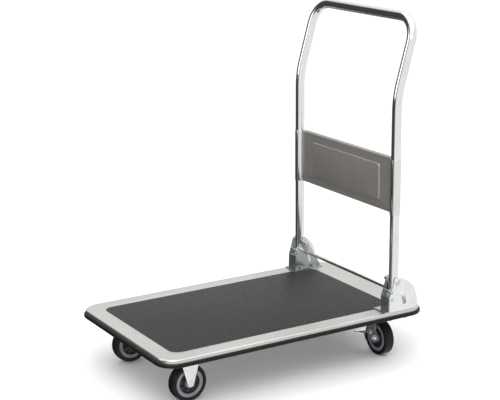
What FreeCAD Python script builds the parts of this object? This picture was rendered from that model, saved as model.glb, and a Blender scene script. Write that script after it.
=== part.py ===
import FreeCAD, Part
import math
import os
from FreeCAD import Vector

# Folding platform cart with a fold-down push handle.
# Frame: origin on the floor under the middle of the platform, +Z up,
# +X towards the handle end (rear), -Y is the left side. Millimetres.

X_AXIS = Vector(1, 0, 0)
Y_AXIS = Vector(0, 1, 0)
Z_AXIS = Vector(0, 0, 1)
LEFT = -1
RIGHT = 1
SIDES = (("left", LEFT), ("right", RIGHT))

# ---- Platform -----------------------------------------------------------
deck_length = 775.0
deck_width = 480.0
deck_corner_radius = 46.0
deck_top = 145.0            # load surface above the floor
skirt_depth = 16.5          # turned-down edge of the pan
pan_sheet = 1.5
edge_roll_radius = 4.0      # rounding between top and skirt
bead_inset = 9.0            # pressed line along each long rim
bead_width = 2.0
bead_depth = 0.6
bead_length = 430.0
bead_centre_x = 30.0

mat_length = 660.0
mat_width = 390.0
mat_thickness = 2.0
mat_corner_radius = 27.0
mat_front_rim = 45.0        # bare rim between the front edge and the mat
mat_sink = 0.1              # how far the mat lies below the rim
mat_gap = 0.3               # gap around the mat in its recess
foot_to_mat = 0.8           # from a bracket foot to the mat beside it

bumper_proud = 5.0
bumper_top_below_deck = 10.5
bumper_lip = 3.5            # rubber under the skirt edge
bumper_inner_wall = 3.0
bumper_round = 3.5

# ---- Under-deck channels ------------------------------------------------
mount_plane = 124.0         # underside of the channels, where casters bolt on
channel_width = 88.0
channel_sheet = 1.5
channel_flange = 12.0
channel_length = 404.0
rail_width = 50.0
rail_end_gap = 2.0

# ---- Handle -------------------------------------------------------------
tube_diameter = 25.0
tube_wall = 1.5
handle_spread = 442.0       # between the upright centre lines
pivot_x = 295.0
pivot_above_deck = 79.0
lean_start_above_deck = 528.0
lean_radius = 250.0
lean_angle = 16.0           # degrees, away from the platform
handle_top_above_deck = 757.0
handle_corner_radius = 60.0
plug_length = 12.0

panel_bottom_above_deck = 258.0
panel_height = 144.0
panel_sheet = 1.2
panel_flange = 13.0
panel_bend_radius = 1.1
panel_sleeve_lap = 0.05
emboss_length = 310.0
emboss_height = 97.0
emboss_depth = 4.0           # back of the sheet to the front of the raised field
emboss_corner_radius = 8.0
panel_rivet_diameter = 5.0
panel_rivet_pitch = 100.0
panel_rivet_head_radius = 4.5
panel_rivet_head_height = 2.2
panel_rivet_head_sink = 0.8 # how far the head's flat face lies inside the sleeve
panel_rivet_tail = 2.0      # inside the tube
flange_end_gap = 2.0        # from a panel flange to the sleeve beside it

# ---- Handle brackets ----------------------------------------------------
bracket_gap = 32.0          # clear width between outer and inner plate
bracket_sheet = 2.5
bracket_front = 26.0        # front edge ahead of the pivot
bracket_shoulder_x = 24.5
bracket_shoulder_drop = 38.0
bracket_apex_radius = 12.0
bracket_back_centre_x = -9.0
bracket_back_centre_drop = 61.0
inner_plate_back = 57.0
inner_plate_heel = 5.0
wall_height = 38.0
wall_lap = 15.0             # lap of the front wall against the outer plate
lap_height = 43.0
foot_width = 15.0           # inboard flange
toe_length = 12.0           # flange ahead of the front wall
base_flange_gap = 1.0
base_flange_back = 3.0
bracket_rivet_diameter = 6.0
bracket_rivet_drop = 44.0
bracket_rivet_ahead = 17.5
bracket_rivet_head_radius = 5.1
bracket_rivet_head_height = 1.6
stop_pin_diameter = 8.0
stop_pin_drop = 26.0
stop_gap = 0.3

pivot_bolt_diameter = 10.0
pivot_bush_wall = 1.5
pivot_clearance = 0.05
pivot_head_diameter = 17.0
pivot_head_height = 4.0
pivot_nut_width = 16.0
pivot_nut_height = 7.0
pivot_bolt_tail = 9.0       # thread past the nut, where the spring hooks on
washer_gap = 0.25
washer_rim = 5.0            # radial width of the pivot washers
washer_clearance = 0.1
hook_groove_inset = 2.5     # from the bolt's end to the groove for the spring hook
hook_groove_depth = 1.2

# ---- Foot release bar ---------------------------------------------------
bar_diameter = 10.0
bar_behind_pivot = 17.5
bar_below_pivot = 35.0
bar_travel = 24.0
slot_lean = 14.5            # degrees, slot against the vertical
slot_clearance = 0.3
bar_end_proud = 2.0
lock_gap = 0.8              # tube end to bar while the handle turns
clip_width = 3.0
clip_wall = 3.0
clip_gap = 1.0              # from a clip to the bracket
bar_chamfer = 1.0
spring_coil_diameter = 10.0
spring_wire = 1.4
spring_turns = 9
spring_hook_gap = 0.3
coil_wire_radius = 0.67

# ---- Casters ------------------------------------------------------------
wheel_diameter = 96.0
tread_width = 28.0
rim_diameter = 74.0
rim_band = 9.5
rim_width = 25.0
rim_web = 8.0
hub_diameter = 24.0
hub_width = 30.0
wheel_bush_wall = 3.0
axle_diameter = 8.0
axle_clearance = 0.05
fork_gap = 33.0             # clear width between the fork legs
fork_sheet = 2.5
fork_tip_radius = 8.5        # fixed fork, round the axle
swivel_tip_radius = 13.0     # swivel fork, round the axle
fork_hole_clearance = 0.1
leg_rib_spacing = 6.5       # two short pressed grooves on each fixed leg
leg_rib_width = 1.8
leg_rib_depth = 0.8
leg_rib_start = 7.0         # above the axle
leg_rib_end = 16.0
axle_head_radius = 6.5      # domed heads of the front axle bolts
axle_head_height = 2.8
front_wheel_x = -285.0
front_wheel_y = 157.0
fixed_leg_top = 59.0
plate_length = 84.0
plate_width = 64.0
plate_corner_radius = 6.0
bolt_spacing_long = 68.0
bolt_spacing_short = 48.0
caster_bolt_diameter = 8.0
rear_swivel_x = 302.5
rear_swivel_y = 123.5
swivel_leg_front = 3.0       # edges of the swivel leg at the crown, from the swivel axis
swivel_leg_back = -30.0
trail = 32.0                # wheel axle behind the swivel axis
crown_radius = 29.0
crown_drop = 11.0           # top of the fork crown below the mount plane
race_radius = 17.0
ball_diameter = 6.0
ball_count = 14
race_wall = 2.0
race_gap = 0.4
race_pad = 1.0              # how far the upper race reaches past the balls
weld_lap = 0.5              # overlap of pieces welded to a caster plate
kingpin_diameter = 12.0
kingpin_head_diameter = 20.0
kingpin_head_height = 3.0
kingpin_clearance = 0.08
left_swivel_turn = 0.0      # wheel trails towards -Y
right_swivel_turn = 90.0    # wheel trails towards +X

# ---- Wheel brake --------------------------------------------------------
pedal_pivot_x = -12.0       # from the swivel axis, ahead of the axle
pedal_pivot_z = 58.0
pedal_pin_diameter = 6.0
pedal_pin_clearance = 0.06
pedal_pin_tail = 0.4
pedal_pin_head_radius = 4.5
pedal_pin_head_height = 1.4
pedal_boss = 9.0            # metal round the pivot in the fork leg
cheek_radius = 7.0
cheek_height = 5.0
pedal_sheet = 2.0
pedal_side_gap = 0.6
pedal_reach = 72.0          # pivot to the end of the tread plate
tread_start = 37.0          # pivot to the edge of the tread plate ahead of the tyre
pedal_slope = 15.0          # degrees
shoe_width = 22.0
shoe_thickness = 3.0
shoe_height = 12.0
shoe_angle = -20.0          # where it meets the tread, above the axle's level
shoe_gap = 2.8              # to the tread with the brake off

# ---- Fasteners ----------------------------------------------------------
bolt_m8 = 8.0
head_m8_width = 13.0
head_m8_height = 5.3
nut_m8_height = 6.5
bolt_m6 = 6.0
head_m6_width = 10.0
head_m6_height = 4.0
nut_m6_height = 5.0
deck_bolt_tail = 22.0
foot_bolt_tail = 2.0
axle_tail = 2.0
caster_bolt_tail = 1.5
base_bolt_offsets = (-8.0, 42.0)     # M8, through the flange under the tube
foot_bolt_offsets = (-8.0, 32.0)     # M6, through the inboard foot
foot_bolt_inset = 6.5                # from the bracket's inner face
hole_clearance = 0.25

# ---- Values that follow from the sizes above ----------------------------
deck_underside = deck_top - pan_sheet
skirt_bottom = deck_top - skirt_depth
recess_depth = mat_thickness + mat_sink
recess_floor = deck_top - recess_depth
recess_underside = recess_floor - pan_sheet
mat_centre_x = -deck_length / 2 + mat_front_rim + mat_length / 2
tube_radius = tube_diameter / 2
bar_radius = bar_diameter / 2
pivot_z = deck_top + pivot_above_deck
tube_y = handle_spread / 2
outer_plate_y = tube_y + bracket_gap / 2
inner_plate_y = tube_y - bracket_gap / 2
bracket_outer_face = outer_plate_y + bracket_sheet
bracket_inner_face = inner_plate_y - bracket_sheet
foot_edge_y = bracket_inner_face - foot_width
bar_x = pivot_x + bar_behind_pivot
bar_z = pivot_z - bar_below_pivot
bar_reach = math.hypot(bar_behind_pivot, bar_below_pivot)
tube_end_drop = math.sqrt((bar_reach - bar_radius - lock_gap) ** 2 - tube_radius ** 2)
slot_direction = Vector(math.sin(math.radians(slot_lean)), 0, -math.cos(math.radians(slot_lean)))
wheel_radius = wheel_diameter / 2
leg_outer = fork_gap / 2 + fork_sheet
crown_top = mount_plane - crown_drop
crown_bottom = crown_top - fork_sheet
plate_bottom = mount_plane - fork_sheet
wheel_bush_radius = axle_diameter / 2 + axle_clearance + wheel_bush_wall
panel_bottom = deck_top + panel_bottom_above_deck
panel_top = panel_bottom + panel_height
panel_inner_radius = tube_radius + panel_sleeve_lap
sleeve_radius = panel_inner_radius + panel_sheet
bush_outer_radius = pivot_bolt_diameter / 2 + pivot_clearance + pivot_bush_wall
bracket_front_x = pivot_x - bracket_front
foot_bolt_y = bracket_inner_face - foot_bolt_inset
pivot_bolt_end_y = bracket_inner_face - pivot_nut_height - pivot_bolt_tail
race_outer_radius = race_radius + ball_diameter / 2 + race_gap
pedal_inner = leg_outer + pedal_side_gap
pedal_outer = pedal_inner + pedal_sheet

parts = {}



# ---- Shape helpers ------------------------------------------------------
def box(x0, x1, y0, y1, z0, z1):
    low = Vector(min(x0, x1), min(y0, y1), min(z0, z1))
    return Part.makeBox(abs(x1 - x0), abs(y1 - y0), abs(z1 - z0), low)


def rod(radius, start, end):
    direction = end - start
    return Part.makeCylinder(radius, direction.Length, start, direction)


def ring(outer_radius, inner_radius, start, end):
    return rod(outer_radius, start, end).cut(rod(inner_radius, start, end))


def fuse_all(shapes):
    joined = shapes[0].fuse(shapes[1:]) if len(shapes) > 1 else shapes[0]
    return joined.removeSplitter()


def hexagon(width, start, end):
    direction = end - start
    corner_radius = width / math.sqrt(3)
    helper = X_AXIS if abs(direction.x) < 0.5 * direction.Length else Y_AXIS
    across = direction.cross(helper).normalize()
    other = direction.cross(across).normalize()
    corners = []
    for step in range(7):
        turn = math.radians(60 * step)
        corners.append(start + across * (corner_radius * math.cos(turn))
                       + other * (corner_radius * math.sin(turn)))
    return Part.Face(Part.makePolygon(corners)).extrude(direction)


def chamfered_hexagon(width, start, end):
    """Hexagon whose corners are turned down at the far end."""
    height = (end - start).Length
    end_radius = width / 2
    cone = Part.makeCone(end_radius + height, end_radius, height, start, end - start)
    return hexagon(width, start, end).common(cone)


def nut(width, bore_radius, start, end):
    return chamfered_hexagon(width, start, end).cut(rod(bore_radius, start, end))


def hex_bolt(head_width, head_height, shank_diameter, seat, direction, length):
    """Bolt whose head stands on seat and whose shank runs along direction."""
    head = chamfered_hexagon(head_width, seat, seat - direction * head_height)
    shank = rod(shank_diameter / 2, seat, seat + direction * length)
    return fuse_all([head, shank])


def rounded_rectangle(length, width, radius, centre_x, z):
    """Horizontal face with rounded corners, centred on (centre_x, 0)."""
    hx = length / 2
    hy = width / 2
    edges = []
    corners = ((1, 1, 0), (-1, 1, 90), (-1, -1, 180), (1, -1, 270))
    ends = []
    for sx, sy, start_angle in corners:
        centre = Vector(centre_x + sx * (hx - radius), sy * (hy - radius), z)
        points = []
        for part_turn in (0, 45, 90):
            turn = math.radians(start_angle + part_turn)
            points.append(centre + Vector(radius * math.cos(turn), radius * math.sin(turn), 0))
        ends.append(points)
    for index, points in enumerate(ends):
        edges.append(Part.Arc(points[0], points[1], points[2]).toShape())
        following = ends[(index + 1) % 4]
        edges.append(Part.LineSegment(points[2], following[0]).toShape())
    return Part.Face(Part.Wire(edges))


def rounded_block(length, width, radius, centre_x, z0, z1):
    return rounded_rectangle(length, width, radius, centre_x, z0).extrude(Vector(0, 0, z1 - z0))


def deck_block(offset, z0, z1):
    """Platform outline grown by offset, between two heights."""
    return rounded_block(deck_length + 2 * offset, deck_width + 2 * offset, deck_corner_radius + offset,
                         0, z0, z1)


def tangent_point(outside, radius, side):
    """Point where a line from outside touches a circle about the origin, in (x, z)."""
    distance = math.hypot(outside[0], outside[1])
    base = math.atan2(outside[1], outside[0])
    swing = side * math.acos(radius / distance)
    return (radius * math.cos(base + swing), radius * math.sin(base + swing))


def profile_in_xz(segments, origin_x, origin_z, y):
    """Closed face from ('line', point) and ('arc', middle, end) segments, in (x, z)."""
    def place(point):
        return Vector(origin_x + point[0], y, origin_z + point[1])
    edges = []
    here = place(segments[0])
    for segment in segments[1:]:
        if segment[0] == "line":
            there = place(segment[1])
            edges.append(Part.LineSegment(here, there).toShape())
        else:
            there = place(segment[2])
            edges.append(Part.Arc(here, place(segment[1]), there).toShape())
        here = there
    return Part.Face(Part.Wire(edges))


def on_circle(centre, radius, angle):
    return (centre[0] + radius * math.cos(angle), centre[1] + radius * math.sin(angle))


def save(name, shape):
    parts[name] = shape


def mirrored(shape):
    return shape.mirror(Vector(0, 0, 0), Y_AXIS)


# ---- Platform -----------------------------------------------------------
def mat_block(offset, z0, z1):
    """Mat outline grown by offset, with its rear corners cut back for the bracket feet."""
    block = rounded_block(mat_length + 2 * offset, mat_width + 2 * offset, mat_corner_radius + offset,
                          mat_centre_x, z0, z1)
    cut_x = bracket_front_x - toe_length - foot_to_mat + offset
    cut_y = foot_edge_y - foot_to_mat + offset
    for side in (LEFT, RIGHT):
        block = block.cut(box(cut_x, deck_length, side * cut_y, side * deck_width, z0 - 1, z1 + 1))
    return block


def make_deck_pan():
    shell = deck_block(0, skirt_bottom, deck_top)
    top_edges = [edge for edge in shell.Edges if abs(edge.BoundBox.ZMin - deck_top) < 0.01]
    shell = shell.makeFillet(edge_roll_radius, top_edges)
    hollow = deck_block(-pan_sheet, skirt_bottom - 1, deck_underside)
    inner_edges = [edge for edge in hollow.Edges if abs(edge.BoundBox.ZMin - deck_underside) < 0.01]
    hollow = hollow.makeFillet(edge_roll_radius - pan_sheet, inner_edges)
    pan = shell.cut(hollow)
    pan = pan.fuse(mat_block(mat_gap + pan_sheet, recess_underside, deck_underside + pan_sheet / 2))
    pan = pan.cut(mat_block(mat_gap, recess_floor, deck_top + 1))
    for side in (LEFT, RIGHT):
        bead_y = side * (deck_width / 2 - bead_inset)
        pan = pan.cut(box(bead_centre_x - bead_length / 2, bead_centre_x + bead_length / 2,
                          bead_y - bead_width / 2, bead_y + bead_width / 2,
                          deck_top - bead_depth, deck_top + 1))
    return pan.removeSplitter()


def make_bumper():
    bumper_top = deck_top - bumper_top_below_deck
    bumper_bottom = skirt_bottom - bumper_lip
    body = deck_block(bumper_proud, bumper_bottom, bumper_top)
    outer_edges = [edge for edge in body.Edges
                   if abs(edge.BoundBox.ZMax - edge.BoundBox.ZMin) < 0.01]
    body = body.makeFillet(bumper_round, outer_edges)
    body = body.cut(deck_block(-pan_sheet - bumper_inner_wall, bumper_bottom - 1, bumper_top + 1))
    groove = deck_block(0, skirt_bottom, bumper_top + 1).cut(
        deck_block(-pan_sheet, skirt_bottom - 1, bumper_top + 2))
    return body.cut(groove).removeSplitter()


def make_cross_channel(centre_x):
    """Hat channel across the platform, open upwards, welded under the recess."""
    half = channel_width / 2
    y1 = channel_length / 2
    web = box(centre_x - half, centre_x + half, -y1, y1, mount_plane, mount_plane + channel_sheet)
    pieces = [web]
    for side in (-1, 1):
        wall_x = centre_x + side * half
        pieces.append(box(wall_x, wall_x - side * channel_sheet, -y1, y1, mount_plane, recess_underside))
        pieces.append(box(wall_x, wall_x + side * channel_flange, -y1, y1,
                          recess_underside - channel_sheet, recess_underside))
    return fuse_all(pieces)


def make_centre_rail():
    """Lengthways hat channel between the two cross channels."""
    reach = channel_width / 2 + channel_flange + rail_end_gap
    start = front_wheel_x + reach
    stop = rear_swivel_x - reach
    half = rail_width / 2
    floor = box(start, stop, -half, half, mount_plane, mount_plane + channel_sheet)
    pieces = [floor]
    for side in (-1, 1):
        wall_y = side * half
        pieces.append(box(start, stop, wall_y, wall_y - side * channel_sheet, mount_plane, recess_underside))
        pieces.append(box(start, stop, wall_y, wall_y + side * channel_flange,
                          recess_underside - channel_sheet, recess_underside))
    return fuse_all(pieces)


# ---- Handle brackets ----------------------------------------------------
def slot_cutter(y0, y1):
    """Straight slot for the release bar, through everything between y0 and y1."""
    radius = bar_radius + slot_clearance
    start = Vector(bar_x, y0, bar_z)
    end = start + slot_direction * bar_travel
    through = Vector(0, y1 - y0, 0)
    across = slot_direction.cross(Y_AXIS).normalize() * radius
    corners = [start + across, end + across, end - across, start - across, start + across]
    middle = Part.Face(Part.makePolygon(corners)).extrude(through)
    return fuse_all([middle, rod(radius, start, start + through), rod(radius, end, end + through)])


def front_edge_points():
    base = (-bracket_front, -pivot_above_deck)
    shoulder = (-bracket_shoulder_x, -bracket_shoulder_drop)
    touch = tangent_point(shoulder, bracket_apex_radius, -1)
    return base, shoulder, touch


def outer_plate_face(y):
    base, shoulder, touch = front_edge_points()
    centre = (bracket_back_centre_x, -bracket_back_centre_drop)
    centre_distance = math.hypot(centre[0], centre[1])
    back_radius = centre_distance + bracket_apex_radius
    meet_angle = math.atan2(-centre[1], -centre[0])
    meet = on_circle((0, 0), bracket_apex_radius, meet_angle)
    touch_angle = math.atan2(touch[1], touch[0])
    apex_middle = on_circle((0, 0), bracket_apex_radius, (touch_angle + meet_angle) / 2)
    end_angle = math.asin((-pivot_above_deck - centre[1]) / back_radius)
    back_middle = on_circle(centre, back_radius, (meet_angle + end_angle) / 2)
    heel = on_circle(centre, back_radius, end_angle)
    outline = [base, ("line", shoulder), ("line", touch), ("arc", apex_middle, meet),
               ("arc", back_middle, heel), ("line", base)]
    return profile_in_xz(outline, pivot_x, pivot_z, y), heel[0]


def inner_plate_face(y):
    base, shoulder, touch = front_edge_points()
    heel_top = (inner_plate_back, inner_plate_heel - pivot_above_deck)
    heel = (inner_plate_back, -pivot_above_deck)
    back_touch = tangent_point(heel_top, bracket_apex_radius, 1)
    middle_angle = (math.atan2(touch[1], touch[0]) + math.atan2(back_touch[1], back_touch[0])) / 2
    apex_middle = on_circle((0, 0), bracket_apex_radius, middle_angle)
    outline = [base, ("line", shoulder), ("line", touch), ("arc", apex_middle, back_touch),
               ("line", heel_top), ("line", heel), ("line", base)]
    return profile_in_xz(outline, pivot_x, pivot_z, y)


def make_outer_plate():
    """Right-hand outer plate with a base flange turned in under the tube."""
    face, heel_x = outer_plate_face(outer_plate_y)
    plate = face.extrude(Vector(0, bracket_sheet, 0))
    flange = box(bracket_front_x + bracket_sheet + base_flange_gap, pivot_x + heel_x - base_flange_back,
                 inner_plate_y + base_flange_gap, bracket_outer_face, deck_top, deck_top + bracket_sheet)
    plate = fuse_all([plate, flange])
    holes = [slot_cutter(outer_plate_y - 1, bracket_outer_face + 1)]
    holes.append(rod(pivot_bolt_diameter / 2 + hole_clearance, Vector(pivot_x, outer_plate_y - 1, pivot_z),
                     Vector(pivot_x, bracket_outer_face + 1, pivot_z)))
    holes.append(stop_pin_rod(outer_plate_y - 1, bracket_outer_face + 1))
    holes.append(bracket_rivet_rod(outer_plate_y - 1, bracket_outer_face + 1))
    for offset in base_bolt_offsets:
        holes.append(rod(bolt_m8 / 2 + hole_clearance, Vector(pivot_x + offset, tube_y, deck_top - 1),
                         Vector(pivot_x + offset, tube_y, deck_top + bracket_sheet + 1)))
    return plate.cut(holes)


def make_inner_plate():
    """Right-hand inner plate with front wall, lap, inboard foot and toe in one folded sheet."""
    plate = inner_plate_face(bracket_inner_face).extrude(Vector(0, bracket_sheet, 0))
    front = bracket_front_x
    wall = box(front, front + bracket_sheet, bracket_inner_face, outer_plate_y,
               deck_top, deck_top + wall_height)
    lap = box(front, front + wall_lap, outer_plate_y - bracket_sheet, outer_plate_y,
              deck_top + bracket_sheet + base_flange_gap, deck_top + lap_height)
    foot = box(front, pivot_x + inner_plate_back, foot_edge_y, inner_plate_y,
               deck_top, deck_top + bracket_sheet)
    toe = box(front - toe_length, front + bracket_sheet, foot_edge_y, outer_plate_y, deck_top,
              deck_top + bracket_sheet)
    plate = fuse_all([plate, wall, lap, foot, toe])
    holes = [slot_cutter(bracket_inner_face - 1, inner_plate_y + 1)]
    holes.append(rod(pivot_bolt_diameter / 2 + hole_clearance,
                     Vector(pivot_x, bracket_inner_face - 1, pivot_z),
                     Vector(pivot_x, inner_plate_y + 1, pivot_z)))
    holes.append(stop_pin_rod(bracket_inner_face - 1, inner_plate_y + 1))
    holes.append(bracket_rivet_rod(outer_plate_y - bracket_sheet - 1, outer_plate_y + 1))
    for offset in foot_bolt_offsets:
        holes.append(rod(bolt_m6 / 2 + hole_clearance, Vector(pivot_x + offset, foot_bolt_y, deck_top - 1),
                         Vector(pivot_x + offset, foot_bolt_y, deck_top + bracket_sheet + 1)))
    return plate.cut(holes)


def stop_pin_rod(y0, y1):
    x = pivot_x - tube_radius - stop_gap - stop_pin_diameter / 2
    z = pivot_z - stop_pin_drop
    return rod(stop_pin_diameter / 2, Vector(x, y0, z), Vector(x, y1, z))


def bracket_rivet_rod(y0, y1):
    x = pivot_x - bracket_rivet_ahead
    z = pivot_z - bracket_rivet_drop
    return rod(bracket_rivet_diameter / 2, Vector(x, y0, z), Vector(x, y1, z))


def domed_head(radius, height, seat, direction):
    """Shallow domed rivet or bolt head standing on seat."""
    sphere_radius = (radius * radius + height * height) / (2 * height)
    ball = Part.makeSphere(sphere_radius, seat + direction * (height - sphere_radius))
    return ball.common(rod(radius, seat, seat + direction * (height + 1)))


def make_bracket_rivet():
    """Rivet that joins the lap of the inner plate to the outer plate."""
    shank = bracket_rivet_rod(outer_plate_y - bracket_sheet, bracket_outer_face)
    x = pivot_x - bracket_rivet_ahead
    z = pivot_z - bracket_rivet_drop
    heads = []
    for y, direction in ((outer_plate_y - bracket_sheet, -Y_AXIS), (bracket_outer_face, Y_AXIS)):
        heads.append(domed_head(bracket_rivet_head_radius, bracket_rivet_head_height,
                                Vector(x, y, z), direction))
    return fuse_all([shank] + heads)


def deck_bolts_and_nuts():
    """Right-hand bolts and nuts that hold one bracket to the pan."""
    top = deck_top + bracket_sheet
    bolts = []
    nuts = []
    m8 = (bolt_m8, head_m8_width, head_m8_height, nut_m8_height)
    m6 = (bolt_m6, head_m6_width, head_m6_height, nut_m6_height)
    places = [(pivot_x + offset, tube_y, m8, deck_bolt_tail) for offset in base_bolt_offsets]
    places += [(pivot_x + offset, foot_bolt_y, m6, foot_bolt_tail) for offset in foot_bolt_offsets]
    for x, y, size, tail in places:
        diameter, head_width, head_height, nut_height = size
        length = bracket_sheet + pan_sheet + nut_height + tail
        bolts.append(hex_bolt(head_width, head_height, diameter, Vector(x, y, top), -Z_AXIS, length))
        nuts.append(nut(head_width, diameter / 2, Vector(x, y, deck_underside),
                        Vector(x, y, deck_underside - nut_height)))
    return bolts, nuts, [(x, y, size[0]) for x, y, size, _ in places]


# ---- Pivot --------------------------------------------------------------
def make_pivot_bolt():
    radius = pivot_bolt_diameter / 2
    seat = Vector(pivot_x, bracket_outer_face, pivot_z)
    shank = rod(radius, seat, Vector(pivot_x, pivot_bolt_end_y, pivot_z))
    head = domed_head(pivot_head_diameter / 2, pivot_head_height, seat, Y_AXIS)
    groove_y = pivot_bolt_end_y + hook_groove_inset
    groove = ring(radius + 1, radius - hook_groove_depth,
                  Vector(pivot_x, groove_y - spring_hook_gap, pivot_z),
                  Vector(pivot_x, groove_y + spring_wire + spring_hook_gap, pivot_z))
    return fuse_all([shank, head]).cut(groove)


def make_pivot_washers():
    thickness = bracket_gap / 2 - tube_radius - washer_gap
    inner = pivot_bolt_diameter / 2 + washer_clearance
    washers = []
    for wall_y, direction in ((outer_plate_y, -1), (inner_plate_y, 1)):
        start = Vector(pivot_x, wall_y, pivot_z)
        end = Vector(pivot_x, wall_y + direction * thickness, pivot_z)
        washers.append(ring(pivot_bolt_diameter / 2 + washer_rim, inner, start, end))
    return washers


# ---- Handle -------------------------------------------------------------
def handle_path():
    """Centre line of the bent tube, from the left end over the top to the right end."""
    lean = math.radians(lean_angle)
    bend_z = deck_top + lean_start_above_deck
    bend_end_x = pivot_x + lean_radius * (1 - math.cos(lean))
    bend_end_z = bend_z + lean_radius * math.sin(lean)
    bend_mid_x = pivot_x + lean_radius * (1 - math.cos(lean / 2))
    bend_mid_z = bend_z + lean_radius * math.sin(lean / 2)
    top_z = deck_top + handle_top_above_deck
    slope = Vector(math.sin(lean), 0, math.cos(lean))
    top_x = bend_end_x + (top_z - bend_end_z) * math.tan(lean)
    reach = handle_corner_radius * (1 - math.sqrt(0.5))
    edges = []
    top_ends = []
    for side in (LEFT, RIGHT):
        y = side * tube_y
        foot = Vector(pivot_x, y, pivot_z - tube_end_drop)
        low = Vector(pivot_x, y, bend_z)
        middle = Vector(bend_mid_x, y, bend_mid_z)
        high = Vector(bend_end_x, y, bend_end_z)
        corner = Vector(top_x, y, top_z)
        corner_start = corner - slope * handle_corner_radius
        corner_end = corner - Vector(0, side * handle_corner_radius, 0)
        corner_mid = corner - slope * reach - Vector(0, side * reach, 0)
        edges.append(Part.LineSegment(foot, low).toShape())
        edges.append(Part.Arc(low, middle, high).toShape())
        edges.append(Part.LineSegment(high, corner_start).toShape())
        edges.append(Part.Arc(corner_start, corner_mid, corner_end).toShape())
        top_ends.append(corner_end)
    edges.append(Part.LineSegment(top_ends[0], top_ends[1]).toShape())
    return Part.Wire(Part.__sortEdges__(edges))


def sweep_circle(path, radius, start, direction):
    section = Part.Wire(Part.makeCircle(radius, start, direction))
    return path.makePipeShell([section], True, False)


def pivot_bore(radius, y0, y1):
    return rod(radius, Vector(pivot_x, y0, pivot_z), Vector(pivot_x, y1, pivot_z))


def make_handle_tube():
    path = handle_path()
    start = Vector(pivot_x, -tube_y, pivot_z - tube_end_drop)
    outer = sweep_circle(path, tube_radius, start, Z_AXIS)
    inner = sweep_circle(path, tube_radius - tube_wall, start, Z_AXIS)
    tube = outer.cut(inner)
    for side in (LEFT, RIGHT):
        tube = tube.cut(pivot_bore(bush_outer_radius, side * (tube_y - tube_diameter),
                                   side * (tube_y + tube_diameter)))
        for height in panel_rivet_heights():
            tube = tube.cut(panel_rivet_shank(side, height))
    return tube


def make_pivot_bush(side):
    start = Vector(pivot_x, side * (tube_y - tube_radius), pivot_z)
    end = Vector(pivot_x, side * (tube_y + tube_radius), pivot_z)
    return ring(bush_outer_radius, pivot_bolt_diameter / 2 + pivot_clearance, start, end)


def make_end_plug(side):
    """Plug pressed into the lower end of the tube."""
    low = Vector(pivot_x, side * tube_y, pivot_z - tube_end_drop)
    return rod(tube_radius - tube_wall, low, low + Z_AXIS * plug_length)


def panel_rivet_heights():
    middle = (panel_bottom + panel_top) / 2
    return (middle - panel_rivet_pitch / 2, middle + panel_rivet_pitch / 2)


def panel_rivet_shank(side, height):
    start = Vector(pivot_x, side * tube_y, height)
    return rod(panel_rivet_diameter / 2, start, start + X_AXIS * sleeve_radius)


def make_panel_rivet(side, height):
    inner_start = Vector(pivot_x + tube_radius - tube_wall - panel_rivet_tail, side * tube_y, height)
    end = Vector(pivot_x + sleeve_radius, side * tube_y, height)
    shank = rod(panel_rivet_diameter / 2, inner_start, end)
    sleeve = rod(sleeve_radius, Vector(pivot_x, side * tube_y, panel_bottom),
                 Vector(pivot_x, side * tube_y, panel_top))
    head = domed_head(panel_rivet_head_radius, panel_rivet_head_height, end - X_AXIS * panel_rivet_head_sink,
                      X_AXIS).cut(sleeve)
    return fuse_all([shank, head])


def make_handle_panel():
    """Pressed panel whose ends wrap the uprights; edges flanged, field embossed."""
    sheet_x = pivot_x - panel_sheet / 2
    web_reach = tube_y - panel_inner_radius
    pieces = [box(sheet_x, sheet_x + panel_sheet, -web_reach, web_reach, panel_bottom, panel_top)]
    flange_reach = tube_y - sleeve_radius - flange_end_gap
    for z0, z1 in ((panel_bottom, panel_bottom + panel_sheet), (panel_top - panel_sheet, panel_top)):
        pieces.append(box(sheet_x, sheet_x + panel_flange, -flange_reach, flange_reach, z0, z1))
    for side in (LEFT, RIGHT):
        pieces.append(rod(sleeve_radius, Vector(pivot_x, side * tube_y, panel_bottom),
                          Vector(pivot_x, side * tube_y, panel_top)))
    panel = fuse_all(pieces)
    for side in (LEFT, RIGHT):
        panel = panel.cut(rod(panel_inner_radius, Vector(pivot_x, side * tube_y, panel_bottom - 1),
                              Vector(pivot_x, side * tube_y, panel_top + 1)))
    corner_edges = []
    for edge in panel.Edges:
        span = edge.BoundBox
        along_y = span.YMax - span.YMin > flange_reach and span.ZMax - span.ZMin < 0.01
        on_front = abs(span.XMin - sheet_x) < 0.01 and span.XMax - span.XMin < 0.01
        on_rim = abs(span.ZMin - panel_bottom) < 0.01 or abs(span.ZMin - panel_top) < 0.01
        if along_y and on_front and on_rim:
            corner_edges.append(edge)
    panel = panel.makeFillet(panel_bend_radius, corner_edges)
    middle_z = (panel_bottom + panel_top) / 2
    field_x = sheet_x + panel_sheet - emboss_depth
    field = emboss_block(emboss_length, emboss_height, field_x, pivot_x, middle_z)
    pocket = emboss_block(emboss_length - 2 * panel_sheet, emboss_height - 2 * panel_sheet,
                          field_x + panel_sheet, sheet_x + 2 * panel_sheet, middle_z)
    panel = panel.fuse(field).cut(pocket)
    for side in (LEFT, RIGHT):
        for height in panel_rivet_heights():
            panel = panel.cut(panel_rivet_shank(side, height))
    return panel.removeSplitter()


def emboss_block(length, height, x0, x1, middle_z):
    """Rounded rectangle in the YZ plane, extruded along X."""
    flat = rounded_block(height, length, emboss_corner_radius, 0, 0, x1 - x0)
    flat.rotate(Vector(0, 0, 0), Y_AXIS, 90)
    flat.translate(Vector(x0, 0, middle_z))
    return flat


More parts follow.
